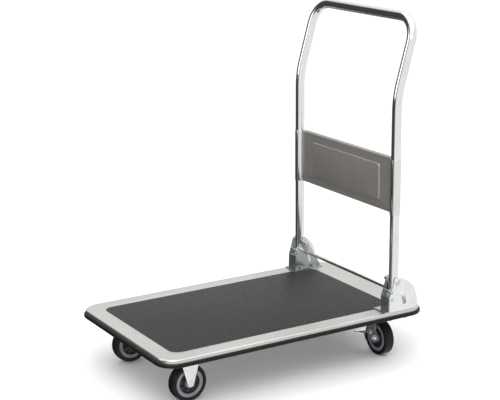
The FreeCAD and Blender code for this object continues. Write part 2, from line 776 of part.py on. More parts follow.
# ---- Release bar --------------------------------------------------------
def make_release_bar():
    end = bracket_outer_face + bar_end_proud
    bar = rod(bar_radius, Vector(bar_x, -end, bar_z), Vector(bar_x, end, bar_z))
    rims = [edge for edge in bar.Edges if edge.BoundBox.YMax - edge.BoundBox.YMin < 0.01]
    return bar.makeChamfer(bar_chamfer, rims)


def make_bar_clip(side):
    """Collar that keeps the bar from shifting sideways, just inside the inner plate."""
    start = side * (bracket_inner_face - clip_gap)
    return ring(bar_radius + clip_wall, bar_radius, Vector(bar_x, start, bar_z),
                Vector(bar_x, start - side * clip_width, bar_z))


def make_return_spring():
    """Right-hand coil spring that hangs between the pivot bolt and the bar, with closed hooks."""
    hook_y = pivot_bolt_end_y + hook_groove_inset + spring_wire / 2
    upper = Vector(pivot_x, hook_y, pivot_z)
    lower = Vector(bar_x, hook_y, bar_z)
    along = (lower - upper).normalize()
    wire_radius = spring_wire / 2
    upper_loop_radius = pivot_bolt_diameter / 2 - hook_groove_depth + spring_hook_gap + wire_radius
    lower_loop_radius = bar_radius + spring_hook_gap + wire_radius
    coil_radius = (spring_coil_diameter - spring_wire) / 2
    coil_start = upper + along * (upper_loop_radius + wire_radius)
    coil_length = bar_reach - upper_loop_radius - lower_loop_radius - 2 * wire_radius
    pitch = coil_length / spring_turns
    helix = Part.makeHelix(pitch, coil_length, coil_radius)
    section = Part.Wire(Part.makeCircle(coil_wire_radius, Vector(coil_radius, 0, 0), Y_AXIS))
    coil = Part.Wire(helix).makePipeShell([section], True, True)
    turn = FreeCAD.Rotation(Z_AXIS, along)
    coil.Placement = FreeCAD.Placement(coil_start, turn)
    return [coil, Part.makeTorus(upper_loop_radius, wire_radius, upper, Y_AXIS),
            Part.makeTorus(lower_loop_radius, wire_radius, lower, Y_AXIS)]


# ---- Wheels -------------------------------------------------------------
def revolve_profile(points):
    """Solid of revolution about Y from (radius, y) points, centred on the origin."""
    corners = [Vector(radius, y, 0) for radius, y in points]
    corners.append(corners[0])
    return Part.Face(Part.makePolygon(corners)).revolve(Vector(0, 0, 0), Y_AXIS, 360)


def symmetric(points):
    """Close a half profile given from the middle outwards by reflecting it."""
    return points + [(radius, -y) for radius, y in reversed(points)]


def make_tyre():
    half = tread_width / 2
    seat = rim_diameter / 2
    return revolve_profile(symmetric([(wheel_radius, half - 9), (wheel_radius - 0.8, half - 3.5),
                                      (wheel_radius - 2.2, half - 0.6), (wheel_radius - 4, half),
                                      (seat + 1, half), (seat, rim_width / 2)]))


def make_rim():
    seat = rim_diameter / 2
    inside = seat - rim_band
    hub = hub_diameter / 2
    return revolve_profile(symmetric([(seat, rim_width / 2), (inside + 1, rim_width / 2),
                                      (inside, rim_width / 2 - 2), (inside - 2.5, rim_web / 2),
                                      (hub + 2.5, rim_web / 2), (hub, rim_width / 2),
                                      (hub - 1, hub_width / 2), (wheel_bush_radius, hub_width / 2)]))


def make_wheel_bush():
    half = hub_width / 2
    return revolve_profile(symmetric([(wheel_bush_radius, half), (axle_diameter / 2 + axle_clearance, half)]))


def place_piece(shape, centre):
    moved = shape.copy()
    moved.translate(centre)
    return moved


def axle_bolt(nut_side, domed):
    """Axle bolt and nut along Y about the origin, nut on the nut_side leg."""
    seat = Vector(0, -nut_side * leg_outer, 0)
    length = 2 * leg_outer + nut_m8_height + axle_tail
    if domed:
        head = domed_head(axle_head_radius, axle_head_height, seat, -Y_AXIS * nut_side)
        bolt = fuse_all([head, rod(axle_diameter / 2, seat, seat + Y_AXIS * nut_side * length)])
    else:
        bolt = hex_bolt(head_m8_width, head_m8_height, axle_diameter, seat, Y_AXIS * nut_side, length)
    own_nut = nut(head_m8_width, axle_diameter / 2, Vector(0, nut_side * leg_outer, 0),
                  Vector(0, nut_side * (leg_outer + nut_m8_height), 0))
    return bolt, own_nut


# ---- Fixed casters ------------------------------------------------------
def plate_bolt_places():
    return [(sx * bolt_spacing_long / 2, sy * bolt_spacing_short / 2) for sx in (-1, 1) for sy in (-1, 1)]


def make_plate():
    plate = rounded_block(plate_length, plate_width, plate_corner_radius, 0, plate_bottom, mount_plane)
    for x, y in plate_bolt_places():
        plate = plate.cut(rod(caster_bolt_diameter / 2 + hole_clearance, Vector(x, y, plate_bottom - 1),
                              Vector(x, y, mount_plane + 1)))
    return plate


def tapered_leg(top, tip, tip_radius, faces):
    """Leg in the XZ plane: top is (front, back, height), tapering to a round tip at (x, z)."""
    front, back, top_z = top
    front_touch = tangent_point((front - tip[0], top_z - tip[1]), tip_radius, -1)
    back_touch = tangent_point((back - tip[0], top_z - tip[1]), tip_radius, 1)
    outline = [(front - tip[0], top_z - tip[1]), ("line", front_touch),
               ("arc", (0, -tip_radius), back_touch), ("line", (back - tip[0], top_z - tip[1])),
               ("line", (front - tip[0], top_z - tip[1]))]
    return profile_in_xz(outline, tip[0], tip[1], faces[0]).extrude(Vector(0, faces[1] - faces[0], 0))


def axle_hole(centre_x):
    return rod(axle_diameter / 2 + fork_hole_clearance, Vector(centre_x, -leg_outer - 1, wheel_radius),
               Vector(centre_x, leg_outer + 1, wheel_radius))


def make_fixed_fork():
    """Fixed fork about the origin, axle along Y."""
    pieces = [make_plate()]
    for side in (-1, 1):
        face_y = side * leg_outer
        leg = tapered_leg((fixed_leg_top / 2, -fixed_leg_top / 2, plate_bottom + weld_lap),
                          (0, wheel_radius), fork_tip_radius, (side * fork_gap / 2, face_y))
        for rib_x in (-leg_rib_spacing / 2, leg_rib_spacing / 2):
            leg = leg.cut(box(rib_x - leg_rib_width / 2, rib_x + leg_rib_width / 2,
                              face_y, face_y - side * leg_rib_depth,
                              wheel_radius + leg_rib_start, wheel_radius + leg_rib_end))
        pieces.append(leg)
    return fuse_all(pieces).cut(axle_hole(0))


# ---- Swivel casters -----------------------------------------------------
# Local frame: swivel axis on Z, wheel trails towards -X, axle along Y.
def make_top_plate():
    plate = make_plate()
    weld = Vector(0, 0, plate_bottom + weld_lap)
    race = ring(race_outer_radius + race_wall, race_outer_radius, Vector(0, 0, crown_top + race_gap), weld)
    pad = ring(race_outer_radius + race_pad, kingpin_diameter / 2,
               Vector(0, 0, crown_top + ball_diameter + 2 * race_gap), weld)
    plate = fuse_all([plate, race, pad])
    return plate.cut(rod(kingpin_diameter / 2, Vector(0, 0, crown_top), Vector(0, 0, mount_plane + 1)))


def make_kingpin():
    head_top = crown_bottom - race_gap
    shank = rod(kingpin_diameter / 2, Vector(0, 0, head_top), Vector(0, 0, mount_plane))
    head = domed_head(kingpin_head_diameter / 2, kingpin_head_height, Vector(0, 0, head_top), -Z_AXIS)
    return fuse_all([shank, head])


def make_balls():
    balls = []
    height = crown_top + race_gap + ball_diameter / 2
    for index in range(ball_count):
        turn = 2 * math.pi * index / ball_count
        centre = Vector(race_radius * math.cos(turn), race_radius * math.sin(turn), height)
        balls.append(Part.makeSphere(ball_diameter / 2, centre))
    return balls


def make_swivel_fork():
    crown = rod(crown_radius, Vector(0, 0, crown_bottom), Vector(0, 0, crown_top))
    pieces = [crown]
    top = (swivel_leg_front, swivel_leg_back, crown_top)
    for side in (-1, 1):
        faces = (side * fork_gap / 2, side * leg_outer)
        pieces.append(tapered_leg(top, (-trail, wheel_radius), swivel_tip_radius, faces))
        pieces.append(tapered_leg(top, (pedal_pivot_x, pedal_pivot_z), pedal_boss, faces))
    kingpin_hole = rod(kingpin_diameter / 2 + kingpin_clearance, Vector(0, 0, crown_bottom - 1),
                       Vector(0, 0, crown_top + 1))
    return fuse_all(pieces).cut([axle_hole(-trail), kingpin_hole, pedal_pin_rod(0, leg_outer + 1)])


def pedal_pin_rod(extra, half):
    return rod(pedal_pin_diameter / 2 + extra, Vector(pedal_pivot_x, -half, pedal_pivot_z),
               Vector(pedal_pivot_x, half, pedal_pivot_z))


def make_brake_pedal():
    """Foot lever with two cheeks outside the fork, a tread plate ahead and a shoe in front of the tyre."""
    plate = box(tread_start, pedal_reach, -pedal_outer, pedal_outer, -pedal_sheet / 2, pedal_sheet / 2)
    pieces = [plate]
    for side in (-1, 1):
        pieces.append(box(0, tread_start + cheek_radius, side * pedal_inner, side * pedal_outer,
                          -cheek_height / 2, cheek_height / 2))
        pieces.append(rod(cheek_radius, Vector(0, side * pedal_inner, 0), Vector(0, side * pedal_outer, 0)))
    pedal = fuse_all(pieces)
    pedal.rotate(Vector(0, 0, 0), Y_AXIS, pedal_slope)
    pedal.translate(Vector(pedal_pivot_x, 0, pedal_pivot_z))
    facing = math.radians(shoe_angle)
    out_x = math.cos(facing)
    out_z = math.sin(facing)
    middle = wheel_radius + shoe_gap + shoe_thickness / 2
    shoe_x = -trail + middle * out_x
    shoe_z = wheel_radius + middle * out_z
    half = shoe_height / 2
    shoe_low = (shoe_x + half * out_z, shoe_z - half * out_x)
    shoe_high = (shoe_x - half * out_z, shoe_z + half * out_x)
    shoe = strut(shoe_low, shoe_high, shoe_thickness, shoe_width / 2)
    slope = math.radians(pedal_slope)
    link_reach = tread_start + pedal_sheet
    link_foot = (pedal_pivot_x + link_reach * math.cos(slope), pedal_pivot_z - link_reach * math.sin(slope))
    link = strut(link_foot, (shoe_x + out_x, shoe_z + out_z), pedal_sheet, shoe_width / 2)
    pedal = fuse_all([pedal, shoe, link])
    return pedal.cut(pedal_pin_rod(pedal_pin_clearance, pedal_outer + 1))


def strut(start, end, thickness, half_width):
    """Flat bar in the XZ plane between two (x, z) points, as wide as twice half_width."""
    length = math.hypot(end[0] - start[0], end[1] - start[1])
    bar = box(0, length, -half_width, half_width, -thickness / 2, thickness / 2)
    bar.rotate(Vector(0, 0, 0), Y_AXIS, -math.degrees(math.atan2(end[1] - start[1], end[0] - start[0])))
    bar.translate(Vector(start[0], 0, start[1]))
    return bar


def make_pedal_pins():
    """Two short pins, one riveted into each fork leg beside the wheel."""
    half = pedal_outer + pedal_pin_tail
    pins = []
    for side in (-1, 1):
        start = Vector(pedal_pivot_x, side * fork_gap / 2, pedal_pivot_z)
        end = Vector(pedal_pivot_x, side * half, pedal_pivot_z)
        head = domed_head(pedal_pin_head_radius, pedal_pin_head_height, end, Y_AXIS * side)
        pins.append(fuse_all([rod(pedal_pin_diameter / 2, start, end), head]))
    return Part.makeCompound(pins)


def place_swivel_piece(shape, side, turn):
    """Local trail is -X; turn 0 points the trail to -Y, and grows anticlockwise seen from above."""
    moved = shape.copy()
    moved.rotate(Vector(0, 0, 0), Z_AXIS, 90 + turn)
    moved.translate(Vector(rear_swivel_x, side * rear_swivel_y, 0))
    return moved


def caster_bolts_and_nuts(centre_x, centre_y):
    bolts = []
    nuts = []
    nut_seat = mount_plane + channel_sheet
    length = fork_sheet + channel_sheet + nut_m8_height + caster_bolt_tail
    for x, y in plate_bolt_places():
        place_x = centre_x + x
        place_y = centre_y + y
        bolts.append(hex_bolt(head_m8_width, head_m8_height, caster_bolt_diameter,
                              Vector(place_x, place_y, plate_bottom), Z_AXIS, length))
        nuts.append(nut(head_m8_width, caster_bolt_diameter / 2, Vector(place_x, place_y, nut_seat),
                        Vector(place_x, place_y, nut_seat + nut_m8_height)))
    return bolts, nuts


# ---- Assembly -----------------------------------------------------------
def build_platform():
    pan = make_deck_pan()
    _, _, deck_holes = deck_bolts_and_nuts()
    for x, y, diameter in deck_holes:
        for side in (LEFT, RIGHT):
            pan = pan.cut(rod(diameter / 2 + hole_clearance, Vector(x, side * y, deck_underside - 1),
                              Vector(x, side * y, deck_top + 1)))
    save("deck_pan", pan)
    save("deck_mat", mat_block(0, recess_floor, recess_floor + mat_thickness))
    save("edge_bumper", make_bumper())
    channels = (("front_cross_channel", front_wheel_x, front_wheel_y),
                ("rear_cross_channel", rear_swivel_x, rear_swivel_y))
    for name, centre_x, caster_y in channels:
        channel = make_cross_channel(centre_x)
        for side in (LEFT, RIGHT):
            for x, y in plate_bolt_places():
                hole_start = Vector(centre_x + x, side * caster_y + y, mount_plane - 1)
                hole_end = hole_start + Z_AXIS * (channel_sheet + 2)
                channel = channel.cut(rod(caster_bolt_diameter / 2 + hole_clearance, hole_start, hole_end))
        save(name, channel)
    save("centre_rail", make_centre_rail())


def build_brackets():
    outer = make_outer_plate()
    inner = make_inner_plate()
    rivet = make_bracket_rivet()
    stop = stop_pin_rod(bracket_inner_face, bracket_outer_face)
    bolts, nuts, _ = deck_bolts_and_nuts()
    pivot_bolt = make_pivot_bolt()
    pivot_nut = nut(pivot_nut_width, pivot_bolt_diameter / 2, Vector(pivot_x, bracket_inner_face, pivot_z),
                    Vector(pivot_x, bracket_inner_face - pivot_nut_height, pivot_z))
    washers = make_pivot_washers()
    save("right_outer_plate", outer)
    save("left_outer_plate", mirrored(outer))
    save("right_inner_plate", inner)
    save("left_inner_plate", mirrored(inner))
    save("right_bracket_rivet", rivet)
    save("left_bracket_rivet", mirrored(rivet))
    groups = (("stop_pins", [stop]), ("bracket_bolts", bolts),
              ("bracket_nuts", nuts), ("pivot_bolts", [pivot_bolt]), ("pivot_nuts", [pivot_nut]),
              ("pivot_washers", washers))
    for name, solids in groups:
        save(name, Part.makeCompound(solids + [mirrored(solid) for solid in solids]))


def build_handle():
    save("handle_tube", make_handle_tube())
    save("handle_panel", make_handle_panel())
    save("tube_end_plugs", Part.makeCompound([make_end_plug(side) for _, side in SIDES]))
    save("pivot_bushes", Part.makeCompound([make_pivot_bush(side) for _, side in SIDES]))
    save("panel_rivets", Part.makeCompound([make_panel_rivet(side, height)
                                            for _, side in SIDES for height in panel_rivet_heights()]))


def build_release():
    save("release_bar", make_release_bar())
    save("bar_clips", Part.makeCompound([make_bar_clip(side) for _, side in SIDES]))
    spring = make_return_spring()
    save("right_return_spring", Part.makeCompound(spring))
    save("left_return_spring", Part.makeCompound([mirrored(piece) for piece in spring]))


def build_front_casters():
    fork = make_fixed_fork()
    tyre = make_tyre()
    rim = make_rim()
    bush = make_wheel_bush()
    for word, side in SIDES:
        place = Vector(front_wheel_x, side * front_wheel_y, 0)
        axle_centre = Vector(front_wheel_x, side * front_wheel_y, wheel_radius)
        save("front_%s_fork" % word, place_piece(fork, place))
        save("front_%s_tyre" % word, place_piece(tyre, axle_centre))
        save("front_%s_rim" % word, place_piece(rim, axle_centre))
        save("front_%s_bush" % word, place_piece(bush, axle_centre))
        bolt, own_nut = axle_bolt(-side, True)
        save("front_%s_axle_bolt" % word, place_piece(bolt, axle_centre))
        save("front_%s_axle_nut" % word, place_piece(own_nut, axle_centre))


def build_rear_casters():
    plate = make_top_plate()
    kingpin = make_kingpin()
    ball_ring = make_balls()
    fork = make_swivel_fork()
    pedal = make_brake_pedal()
    pins = make_pedal_pins()
    axle_place = Vector(-trail, 0, wheel_radius)
    bolt, own_nut = axle_bolt(1, False)
    kingpins = []
    balls = []
    for word, side in SIDES:
        turn = left_swivel_turn if side == LEFT else right_swivel_turn
        centre = Vector(rear_swivel_x, side * rear_swivel_y, 0)
        save("rear_%s_top_plate" % word, place_piece(plate, centre))
        kingpins.append(place_piece(kingpin, centre))
        balls.extend(place_piece(ball, centre) for ball in ball_ring)
        pieces = (("swivel_fork", fork), ("brake_pedal", pedal), ("pedal_pins", pins))
        for name, shape in pieces:
            save("rear_%s_%s" % (word, name), place_swivel_piece(shape, side, turn))
        wheel_pieces = (("tyre", make_tyre()), ("rim", make_rim()), ("bush", make_wheel_bush()),
                        ("axle_bolt", bolt), ("axle_nut", own_nut))
        for name, shape in wheel_pieces:
            local = place_piece(shape, axle_place)
            save("rear_%s_%s" % (word, name), place_swivel_piece(local, side, turn))
    save("kingpins", Part.makeCompound(kingpins))
    save("swivel_balls", Part.makeCompound(balls))


def build_caster_fasteners():
    bolts = []
    nuts = []
    for _, side in SIDES:
        for centre_x, caster_y in ((front_wheel_x, front_wheel_y), (rear_swivel_x, rear_swivel_y)):
            new_bolts, new_nuts = caster_bolts_and_nuts(centre_x, side * caster_y)
            bolts.extend(new_bolts)
            nuts.extend(new_nuts)
    save("caster_bolts", Part.makeCompound(bolts))
    save("caster_nuts", Part.makeCompound(nuts))


def main():
    build_platform()
    build_brackets()
    build_handle()
    build_release()
    build_front_casters()
    build_rear_casters()
    build_caster_fasteners()
    os.makedirs("parts", exist_ok=True)
    for name, shape in parts.items():
        shape.exportStep("parts/%s.step" % name)


main()
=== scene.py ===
import math

import bmesh
import bpy
from bpy.props import FloatProperty, FloatVectorProperty, IntProperty, PointerProperty
from mathutils import Matrix, Vector


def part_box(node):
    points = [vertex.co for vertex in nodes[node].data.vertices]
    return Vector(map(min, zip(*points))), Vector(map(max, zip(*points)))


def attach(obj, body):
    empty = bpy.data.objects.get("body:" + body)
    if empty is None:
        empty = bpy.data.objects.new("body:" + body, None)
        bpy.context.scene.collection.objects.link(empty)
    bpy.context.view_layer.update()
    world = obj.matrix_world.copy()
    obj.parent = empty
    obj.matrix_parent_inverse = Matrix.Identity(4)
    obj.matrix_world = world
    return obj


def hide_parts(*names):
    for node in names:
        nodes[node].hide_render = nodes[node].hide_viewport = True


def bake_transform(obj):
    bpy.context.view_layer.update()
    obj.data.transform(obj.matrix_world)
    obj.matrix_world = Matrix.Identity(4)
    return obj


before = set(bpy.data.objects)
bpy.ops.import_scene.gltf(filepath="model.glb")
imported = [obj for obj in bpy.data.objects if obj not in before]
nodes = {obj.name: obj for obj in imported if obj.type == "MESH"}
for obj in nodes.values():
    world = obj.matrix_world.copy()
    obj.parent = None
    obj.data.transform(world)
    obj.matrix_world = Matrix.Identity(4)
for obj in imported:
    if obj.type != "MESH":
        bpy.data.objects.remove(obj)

bl_info = {
    "name": "Folding Platform Cart",
    "version": (1, 0, 0),
    "blender": (4, 5, 0),
    "location": "3D View > Sidebar > Cart",
    "description": "Builds the visible pieces of a folding platform cart round its packed frame",
    "category": "Object",
}

X_AXIS = Vector((1, 0, 0))
Y_AXIS = Vector((0, 1, 0))
Z_AXIS = Vector((0, 0, 1))
SIDES = (("left", -1), ("right", 1))

FINE_EDGE = 0.0002          # rounding left on small fasteners
SMALL_EDGE = 0.0003
PLATE_EDGE = 0.0004         # rounding left on sheet metal
WELD_DISTANCE = 0.00001     # points closer than this are one
FLAT_ANGLE = math.radians(1.5)
SHARP_ANGLE = math.radians(35)
SHARPEST_MITRE = 0.35       # limits how far a sharp outline corner is pushed out
ON_AXIS = 1e-6              # a profile radius below this is a pole

ROLL_STEPS = 6              # faces round a sheet bend
FOOT_STEPS = 26             # stations along each stretch of the handle tube
LEAN_STEPS = 8
RISE_STEPS = 10
CORNER_STEPS = 16
TOP_STEPS = 12
HOOK_STEPS = 21
COIL_STEPS = 20             # stations in each spring turn

HOOK_SWEEP = 330            # degrees that a spring hook goes round its pin
HOOK_PIN_RADIUS = 0.0038
HOOK_BAR_RADIUS = 0.005
HOOK_GAP = 0.0003
HOOK_LEAD = 0.0012          # from a hook to the first coil
COIL_END = 0.35             # share of the coil radius where the coil starts

FLOOR_REACH = 30
CAMERA_PLACE = (-1.8027, -2.9539, 1.3485)
CAMERA_TURN = math.radians(31.32)
CAMERA_DIP = math.radians(14.80)
CAMERA_ROLL = math.radians(0.405)
SENSOR_WIDTH = 36

ROOM_DARK = (0.05, 0.05, 0.052)
ROOM_BACK = (0.90, 0.895, 0.88)
ROOM_WINDOW = (0.90, 0.90, 0.91)
ROOM_CEILING = (1.65, 1.65, 1.65)

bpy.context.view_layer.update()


def length_setting(label, text, value):
    return FloatProperty(name=label, description=text, default=value, min=0.0, unit="LENGTH", precision=4)


def colour_setting(label, text, value):
    return FloatVectorProperty(name=label, description=text, default=value, min=0.0, max=1.0, size=3,
                               subtype="COLOR")


# ---- Settings -----------------------------------------------------------
class CartPlatformSettings(bpy.types.PropertyGroup):
    corner_radius: length_setting("Corner radius", "Radius of the platform corners seen from above", 0.046)
    sheet: length_setting("Sheet", "Thickness of the pan sheet", 0.0015)
    edge_roll: length_setting("Edge roll", "Radius between the rim and the skirt", 0.004)
    line_length: length_setting("Rim line length", "Length of the pressed line on each long rim", 0.430)
    line_width: length_setting("Rim line width", "Width of the pressed line", 0.0028)
    line_depth: length_setting("Rim line depth", "Depth of the pressed line", 0.0016)
    line_inset: length_setting("Rim line inset", "Distance from the platform edge to the pressed line", 0.009)
    line_middle: FloatProperty(name="Rim line middle", default=0.030, unit="LENGTH",
                               description="Where the pressed line is centred along the platform")
    mat_corner: length_setting("Mat corner", "Corner radius of the mat", 0.027)
    mat_gap: length_setting("Mat gap", "Gap between the mat and its recess", 0.0003)
    mat_edge: length_setting("Mat edge", "Rounding of the mat's upper edge", 0.0005)
    foot_gap: length_setting("Foot gap", "Gap between a bracket foot and the mat", 0.0008)
    bumper_proud: length_setting("Bumper proud", "How far the bumper stands out from the skirt", 0.005)
    paint: colour_setting("Paint", "Colour of the platform coat", (0.63, 0.62, 0.597))
    vinyl: colour_setting("Vinyl", "Colour of the mat", (0.017, 0.017, 0.018))
    rubber: colour_setting("Rubber", "Colour of the bumper", (0.005, 0.005, 0.0055))


class CartHandleSettings(bpy.types.PropertyGroup):
    tube_radius: length_setting("Tube radius", "Outer radius of the handle tube", 0.0125)
    tube_wall: length_setting("Tube wall", "Wall thickness of the handle tube", 0.0015)
    lean_start: length_setting("Lean start", "Height above the deck where the uprights start to lean", 0.528)
    lean_radius: length_setting("Lean radius", "Radius of the bend where the uprights start to lean", 0.250)
    lean_angle: FloatProperty(name="Lean angle", description="Lean of the handle's upper part",
                              default=math.radians(16), subtype="ANGLE")
    corner_radius: length_setting("Corner radius", "Radius of the handle's top corners", 0.060)
    panel_sheet: length_setting("Panel sheet", "Thickness of the panel", 0.0012)
    panel_bend: length_setting("Panel bend", "Radius of the panel's flange bends", 0.0022)
    field_length: length_setting("Field length", "Length of the pressed field", 0.310)
    field_height: length_setting("Field height", "Height of the pressed field", 0.097)
    field_raise: length_setting("Field raise", "How far the pressed field stands out in front", 0.0038)
    field_corner: length_setting("Field corner", "Corner radius of the pressed field", 0.008)
    chrome: colour_setting("Chrome", "Colour of the plated tube", (0.87, 0.86, 0.83))
    # The panel colour is painted reflection: it is set far darker than the sleeves of the same sheet,
    # standing for the dark room its flat face reflects.
    panel: colour_setting("Panel", "Colour of the panel", (0.34, 0.325, 0.30))
    zinc: colour_setting("Zinc", "Colour of the bracket plating", (0.84, 0.85, 0.86))
    spring_turns: IntProperty(name="Spring turns", description="Turns of each return spring", default=9,
                              min=3)
    spring_wire: length_setting("Spring wire", "Wire radius of the return springs", 0.0007)
    spring_coil: length_setting("Spring coil", "Radius of the return springs, to the wire's middle", 0.0043)


class CartCasterSettings(bpy.types.PropertyGroup):
    tyre_shoulder: length_setting("Tyre shoulder", "Rounding of the tyre shoulders", 0.0045)
    rim_web: length_setting("Rim web", "Thickness of the wheel disc", 0.008)
    rim_band: length_setting("Rim band", "Width of the raised ring round the wheel disc", 0.0095)
    ribs: IntProperty(name="Ribs", description="Radial ribs on each side of a wheel disc", default=8, min=3)
    tyre: colour_setting("Tyre", "Colour of the tyre rubber", (0.006, 0.006, 0.0065))
    rim: colour_setting("Rim", "Colour of the raised ring of the wheel discs", (0.22, 0.215, 0.24))
    # The recess colour is painted shade: the sunk middle of each disc is drawn near-black for the shade that
    # falls in it.
    recess: colour_setting("Recess", "Colour of the sunk middle of the wheel discs", (0.030, 0.030, 0.034))


class CartStageSettings(bpy.types.PropertyGroup):
    lens: FloatProperty(name="Lens", description="Focal length of the camera", default=99.65, unit="CAMERA")
    key_power: FloatProperty(name="Key power", description="Power of the key light", default=45.0,
                             unit="POWER")
    fill_power: FloatProperty(name="Fill power", description="Power of the fill light", default=22.0,
                              unit="POWER")
    room_level: FloatProperty(name="Room level", description="Brightness of the room's light", default=1.0)
    floor: colour_setting("Floor", "Colour of the floor", (0.93, 0.93, 0.93))


# ---- Placing ------------------------------------------------------------
def middle(node):
    low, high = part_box(node)
    return (low + high) / 2


def across(axis):
    """Two directions square to an axis."""
    helper = Z_AXIS if abs(axis.z) < 0.9 else X_AXIS
    first = axis.cross(helper).normalized()
    return first, axis.cross(first).normalized()


# ---- Outlines -----------------------------------------------------------
def arc(centre, radius, start, stop, steps):
    """Points on an arc, angles in degrees, both ends included."""
    points = []
    for step in range(steps + 1):
        turn = math.radians(start + (stop - start) * step / steps)
        points.append(Vector((centre[0] + radius * math.cos(turn), centre[1] + radius * math.sin(turn))))
    return points


def rounded_outline(low, high, radius, steps=14):
    """Rectangle with rounded corners, anticlockwise."""
    points = arc((high[0] - radius, low[1] + radius), radius, -90, 0, steps)
    points += arc((high[0] - radius, high[1] - radius), radius, 0, 90, steps)
    points += arc((low[0] + radius, high[1] - radius), radius, 90, 180, steps)
    points += arc((low[0] + radius, low[1] + radius), radius, 180, 270, steps)
    return points


def grown(outline, distance):
    """Outline moved outwards by a distance, corners kept sharp."""
    result = []
    count = len(outline)
    for index, point in enumerate(outline):
        arriving = (point - outline[index - 1]).normalized()
        leaving = (outline[(index + 1) % count] - point).normalized()
        square = Vector((arriving.y, -arriving.x))
        outward = (square + Vector((leaving.y, -leaving.x))).normalized()
        result.append(point + outward * (distance / max(SHARPEST_MITRE, outward.dot(square))))
    return result


def mat_outline(settings):
    """Mat outline with its rear corners cut back for the bracket feet."""
    low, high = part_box("deck_mat")
    toe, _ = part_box("right_inner_plate")
    cut_x = toe.x - settings.foot_gap
    cut_y = toe.y - settings.foot_gap
    radius = settings.mat_corner
    turn = math.degrees(math.asin((cut_y - high.y + radius) / radius))
    points = arc((high.x - radius, high.y - radius), radius, 0, turn, 8)
    points += [Vector((cut_x, cut_y)), Vector((cut_x, high.y))]
    points += arc((low.x + radius, high.y - radius), radius, 90, 180, 14)
    points += arc((low.x + radius, low.y + radius), radius, 180, 270, 14)
    points += [Vector((cut_x, low.y)), Vector((cut_x, -cut_y))]
    points += arc((high.x - radius, low.y + radius), radius, -turn, 0, 8)
    return points


# ---- Mesh making --------------------------------------------------------
def ring_of(bm, outline, z):
    return [bm.verts.new((point[0], point[1], z)) for point in outline]


def bridge(bm, first, second):
    count = len(first)
    for index in range(count):
        after = (index + 1) % count
        bm.faces.new((first[index], first[after], second[after], second[index]))


def stacked(bm, outline, steps, open_start=False, open_end=False):
    """Walls through copies of an outline, each grown and lifted, with flat ends."""
    rings = [ring_of(bm, grown(outline, growth), z) for growth, z in steps]
    for lower, upper in zip(rings, rings[1:]):
        bridge(bm, lower, upper)
    if not open_start:
        bm.faces.new(rings[0])
    if not open_end:
        bm.faces.new(rings[-1])
    return rings


def flat_between(bm, outer, holes):
    """Flat faces between an outer ring of points and the holes in it."""
    edges = []
    for ring in [outer] + holes:
        count = len(ring)
        for index in range(count):
            pair = (ring[index], ring[(index + 1) % count])
            edges.append(bm.edges.get(pair) or bm.edges.new(pair))
    bmesh.ops.triangle_fill(bm, use_beauty=True, use_dissolve=False, edges=edges)


def round_ring(bm, centre, first, second, radius, count):
    """Points on a circle in the plane of two directions."""
    ring = []
    for step in range(count):
        turn = 2 * math.pi * step / count
        place = centre + first * (radius * math.cos(turn)) + second * (radius * math.sin(turn))
        ring.append(bm.verts.new(place))
    return ring


def turned(bm, profile, centre, axis, segments=72, closed=True):
    """Body of revolution from (radius, distance along the axis) points."""
    first, second = across(axis)
    rings = []
    for radius, along in profile:
        origin = centre + axis * along
        if radius < ON_AXIS:
            rings.append([bm.verts.new(origin)])
        else:
            rings.append(round_ring(bm, origin, first, second, radius, segments))
    pairs = list(zip(rings, rings[1:]))
    if closed:
        pairs.append((rings[-1], rings[0]))
    for inner, outer in pairs:
        if len(inner) > 1 and len(outer) > 1:
            bridge(bm, inner, outer)
            continue
        if len(inner) == len(outer):
            continue
        pole, ring = (inner[0], outer) if len(inner) == 1 else (outer[0], inner)
        for index in range(len(ring)):
            bm.faces.new((pole, ring[index], ring[(index + 1) % len(ring)]))


def swept(bm, path, radii, sides, order=None):
    """Round bar or tube along a path; order picks the path points when a wall turns back inside."""
    tangents = []
    for index in range(len(path)):
        before = path[max(index - 1, 0)]
        after = path[min(index + 1, len(path) - 1)]
        tangents.append((after - before).normalized())
    normal, _ = across(tangents[0])
    frames = []
    for point, tangent in zip(path, tangents):
        normal = (normal - tangent * normal.dot(tangent)).normalized()
        frames.append((point, normal, tangent.cross(normal)))
    rings = []
    for position, radius in zip(order or range(len(path)), radii):
        point, first, second = frames[position]
        rings.append(round_ring(bm, point, first, second, radius, sides))
    for lower, upper in zip(rings, rings[1:]):
        bridge(bm, lower, upper)
    return rings


def put_in_scene(name, mesh, finish, body, stands_for, sharp=32):
    for polygon in mesh.polygons:
        polygon.use_smooth = True
    mesh.set_sharp_from_angle(angle=math.radians(sharp))
    mesh.materials.clear()
    mesh.materials.append(finish)
    piece = bpy.data.objects.new(name, mesh)
    bpy.context.scene.collection.objects.link(piece)
    if body:
        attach(piece, body)
    if stands_for:
        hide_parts(*stands_for)
    return piece


def finish_mesh(name, bm):
    bmesh.ops.recalc_face_normals(bm, faces=bm.faces)
    mesh = bpy.data.meshes.new(name)
    bm.to_mesh(mesh)
    bm.free()
    return mesh


def soften(piece, width, segments=2):
    """Small rounding on every sharp edge of a piece."""
    bevel = piece.modifiers.new("edges", "BEVEL")
    bevel.width = width
    bevel.segments = segments
    bevel.limit_method = "ANGLE"
    bevel.angle_limit = SHARP_ANGLE
    bevel.harden_normals = True


def dress(names, finish, width=SMALL_EDGE):
    """Give CAD nodes a finish and softened edges; their own shape stays."""
    for name in names:
        node = nodes[name]
        node.data.materials.clear()
        node.data.materials.append(finish)
        weld = node.modifiers.new("weld", "WELD")
        weld.merge_threshold = WELD_DISTANCE
        planar = node.modifiers.new("planar", "DECIMATE")
        planar.decimate_type = "DISSOLVE"
        planar.angle_limit = FLAT_ANGLE
        if width:
            soften(node, width)


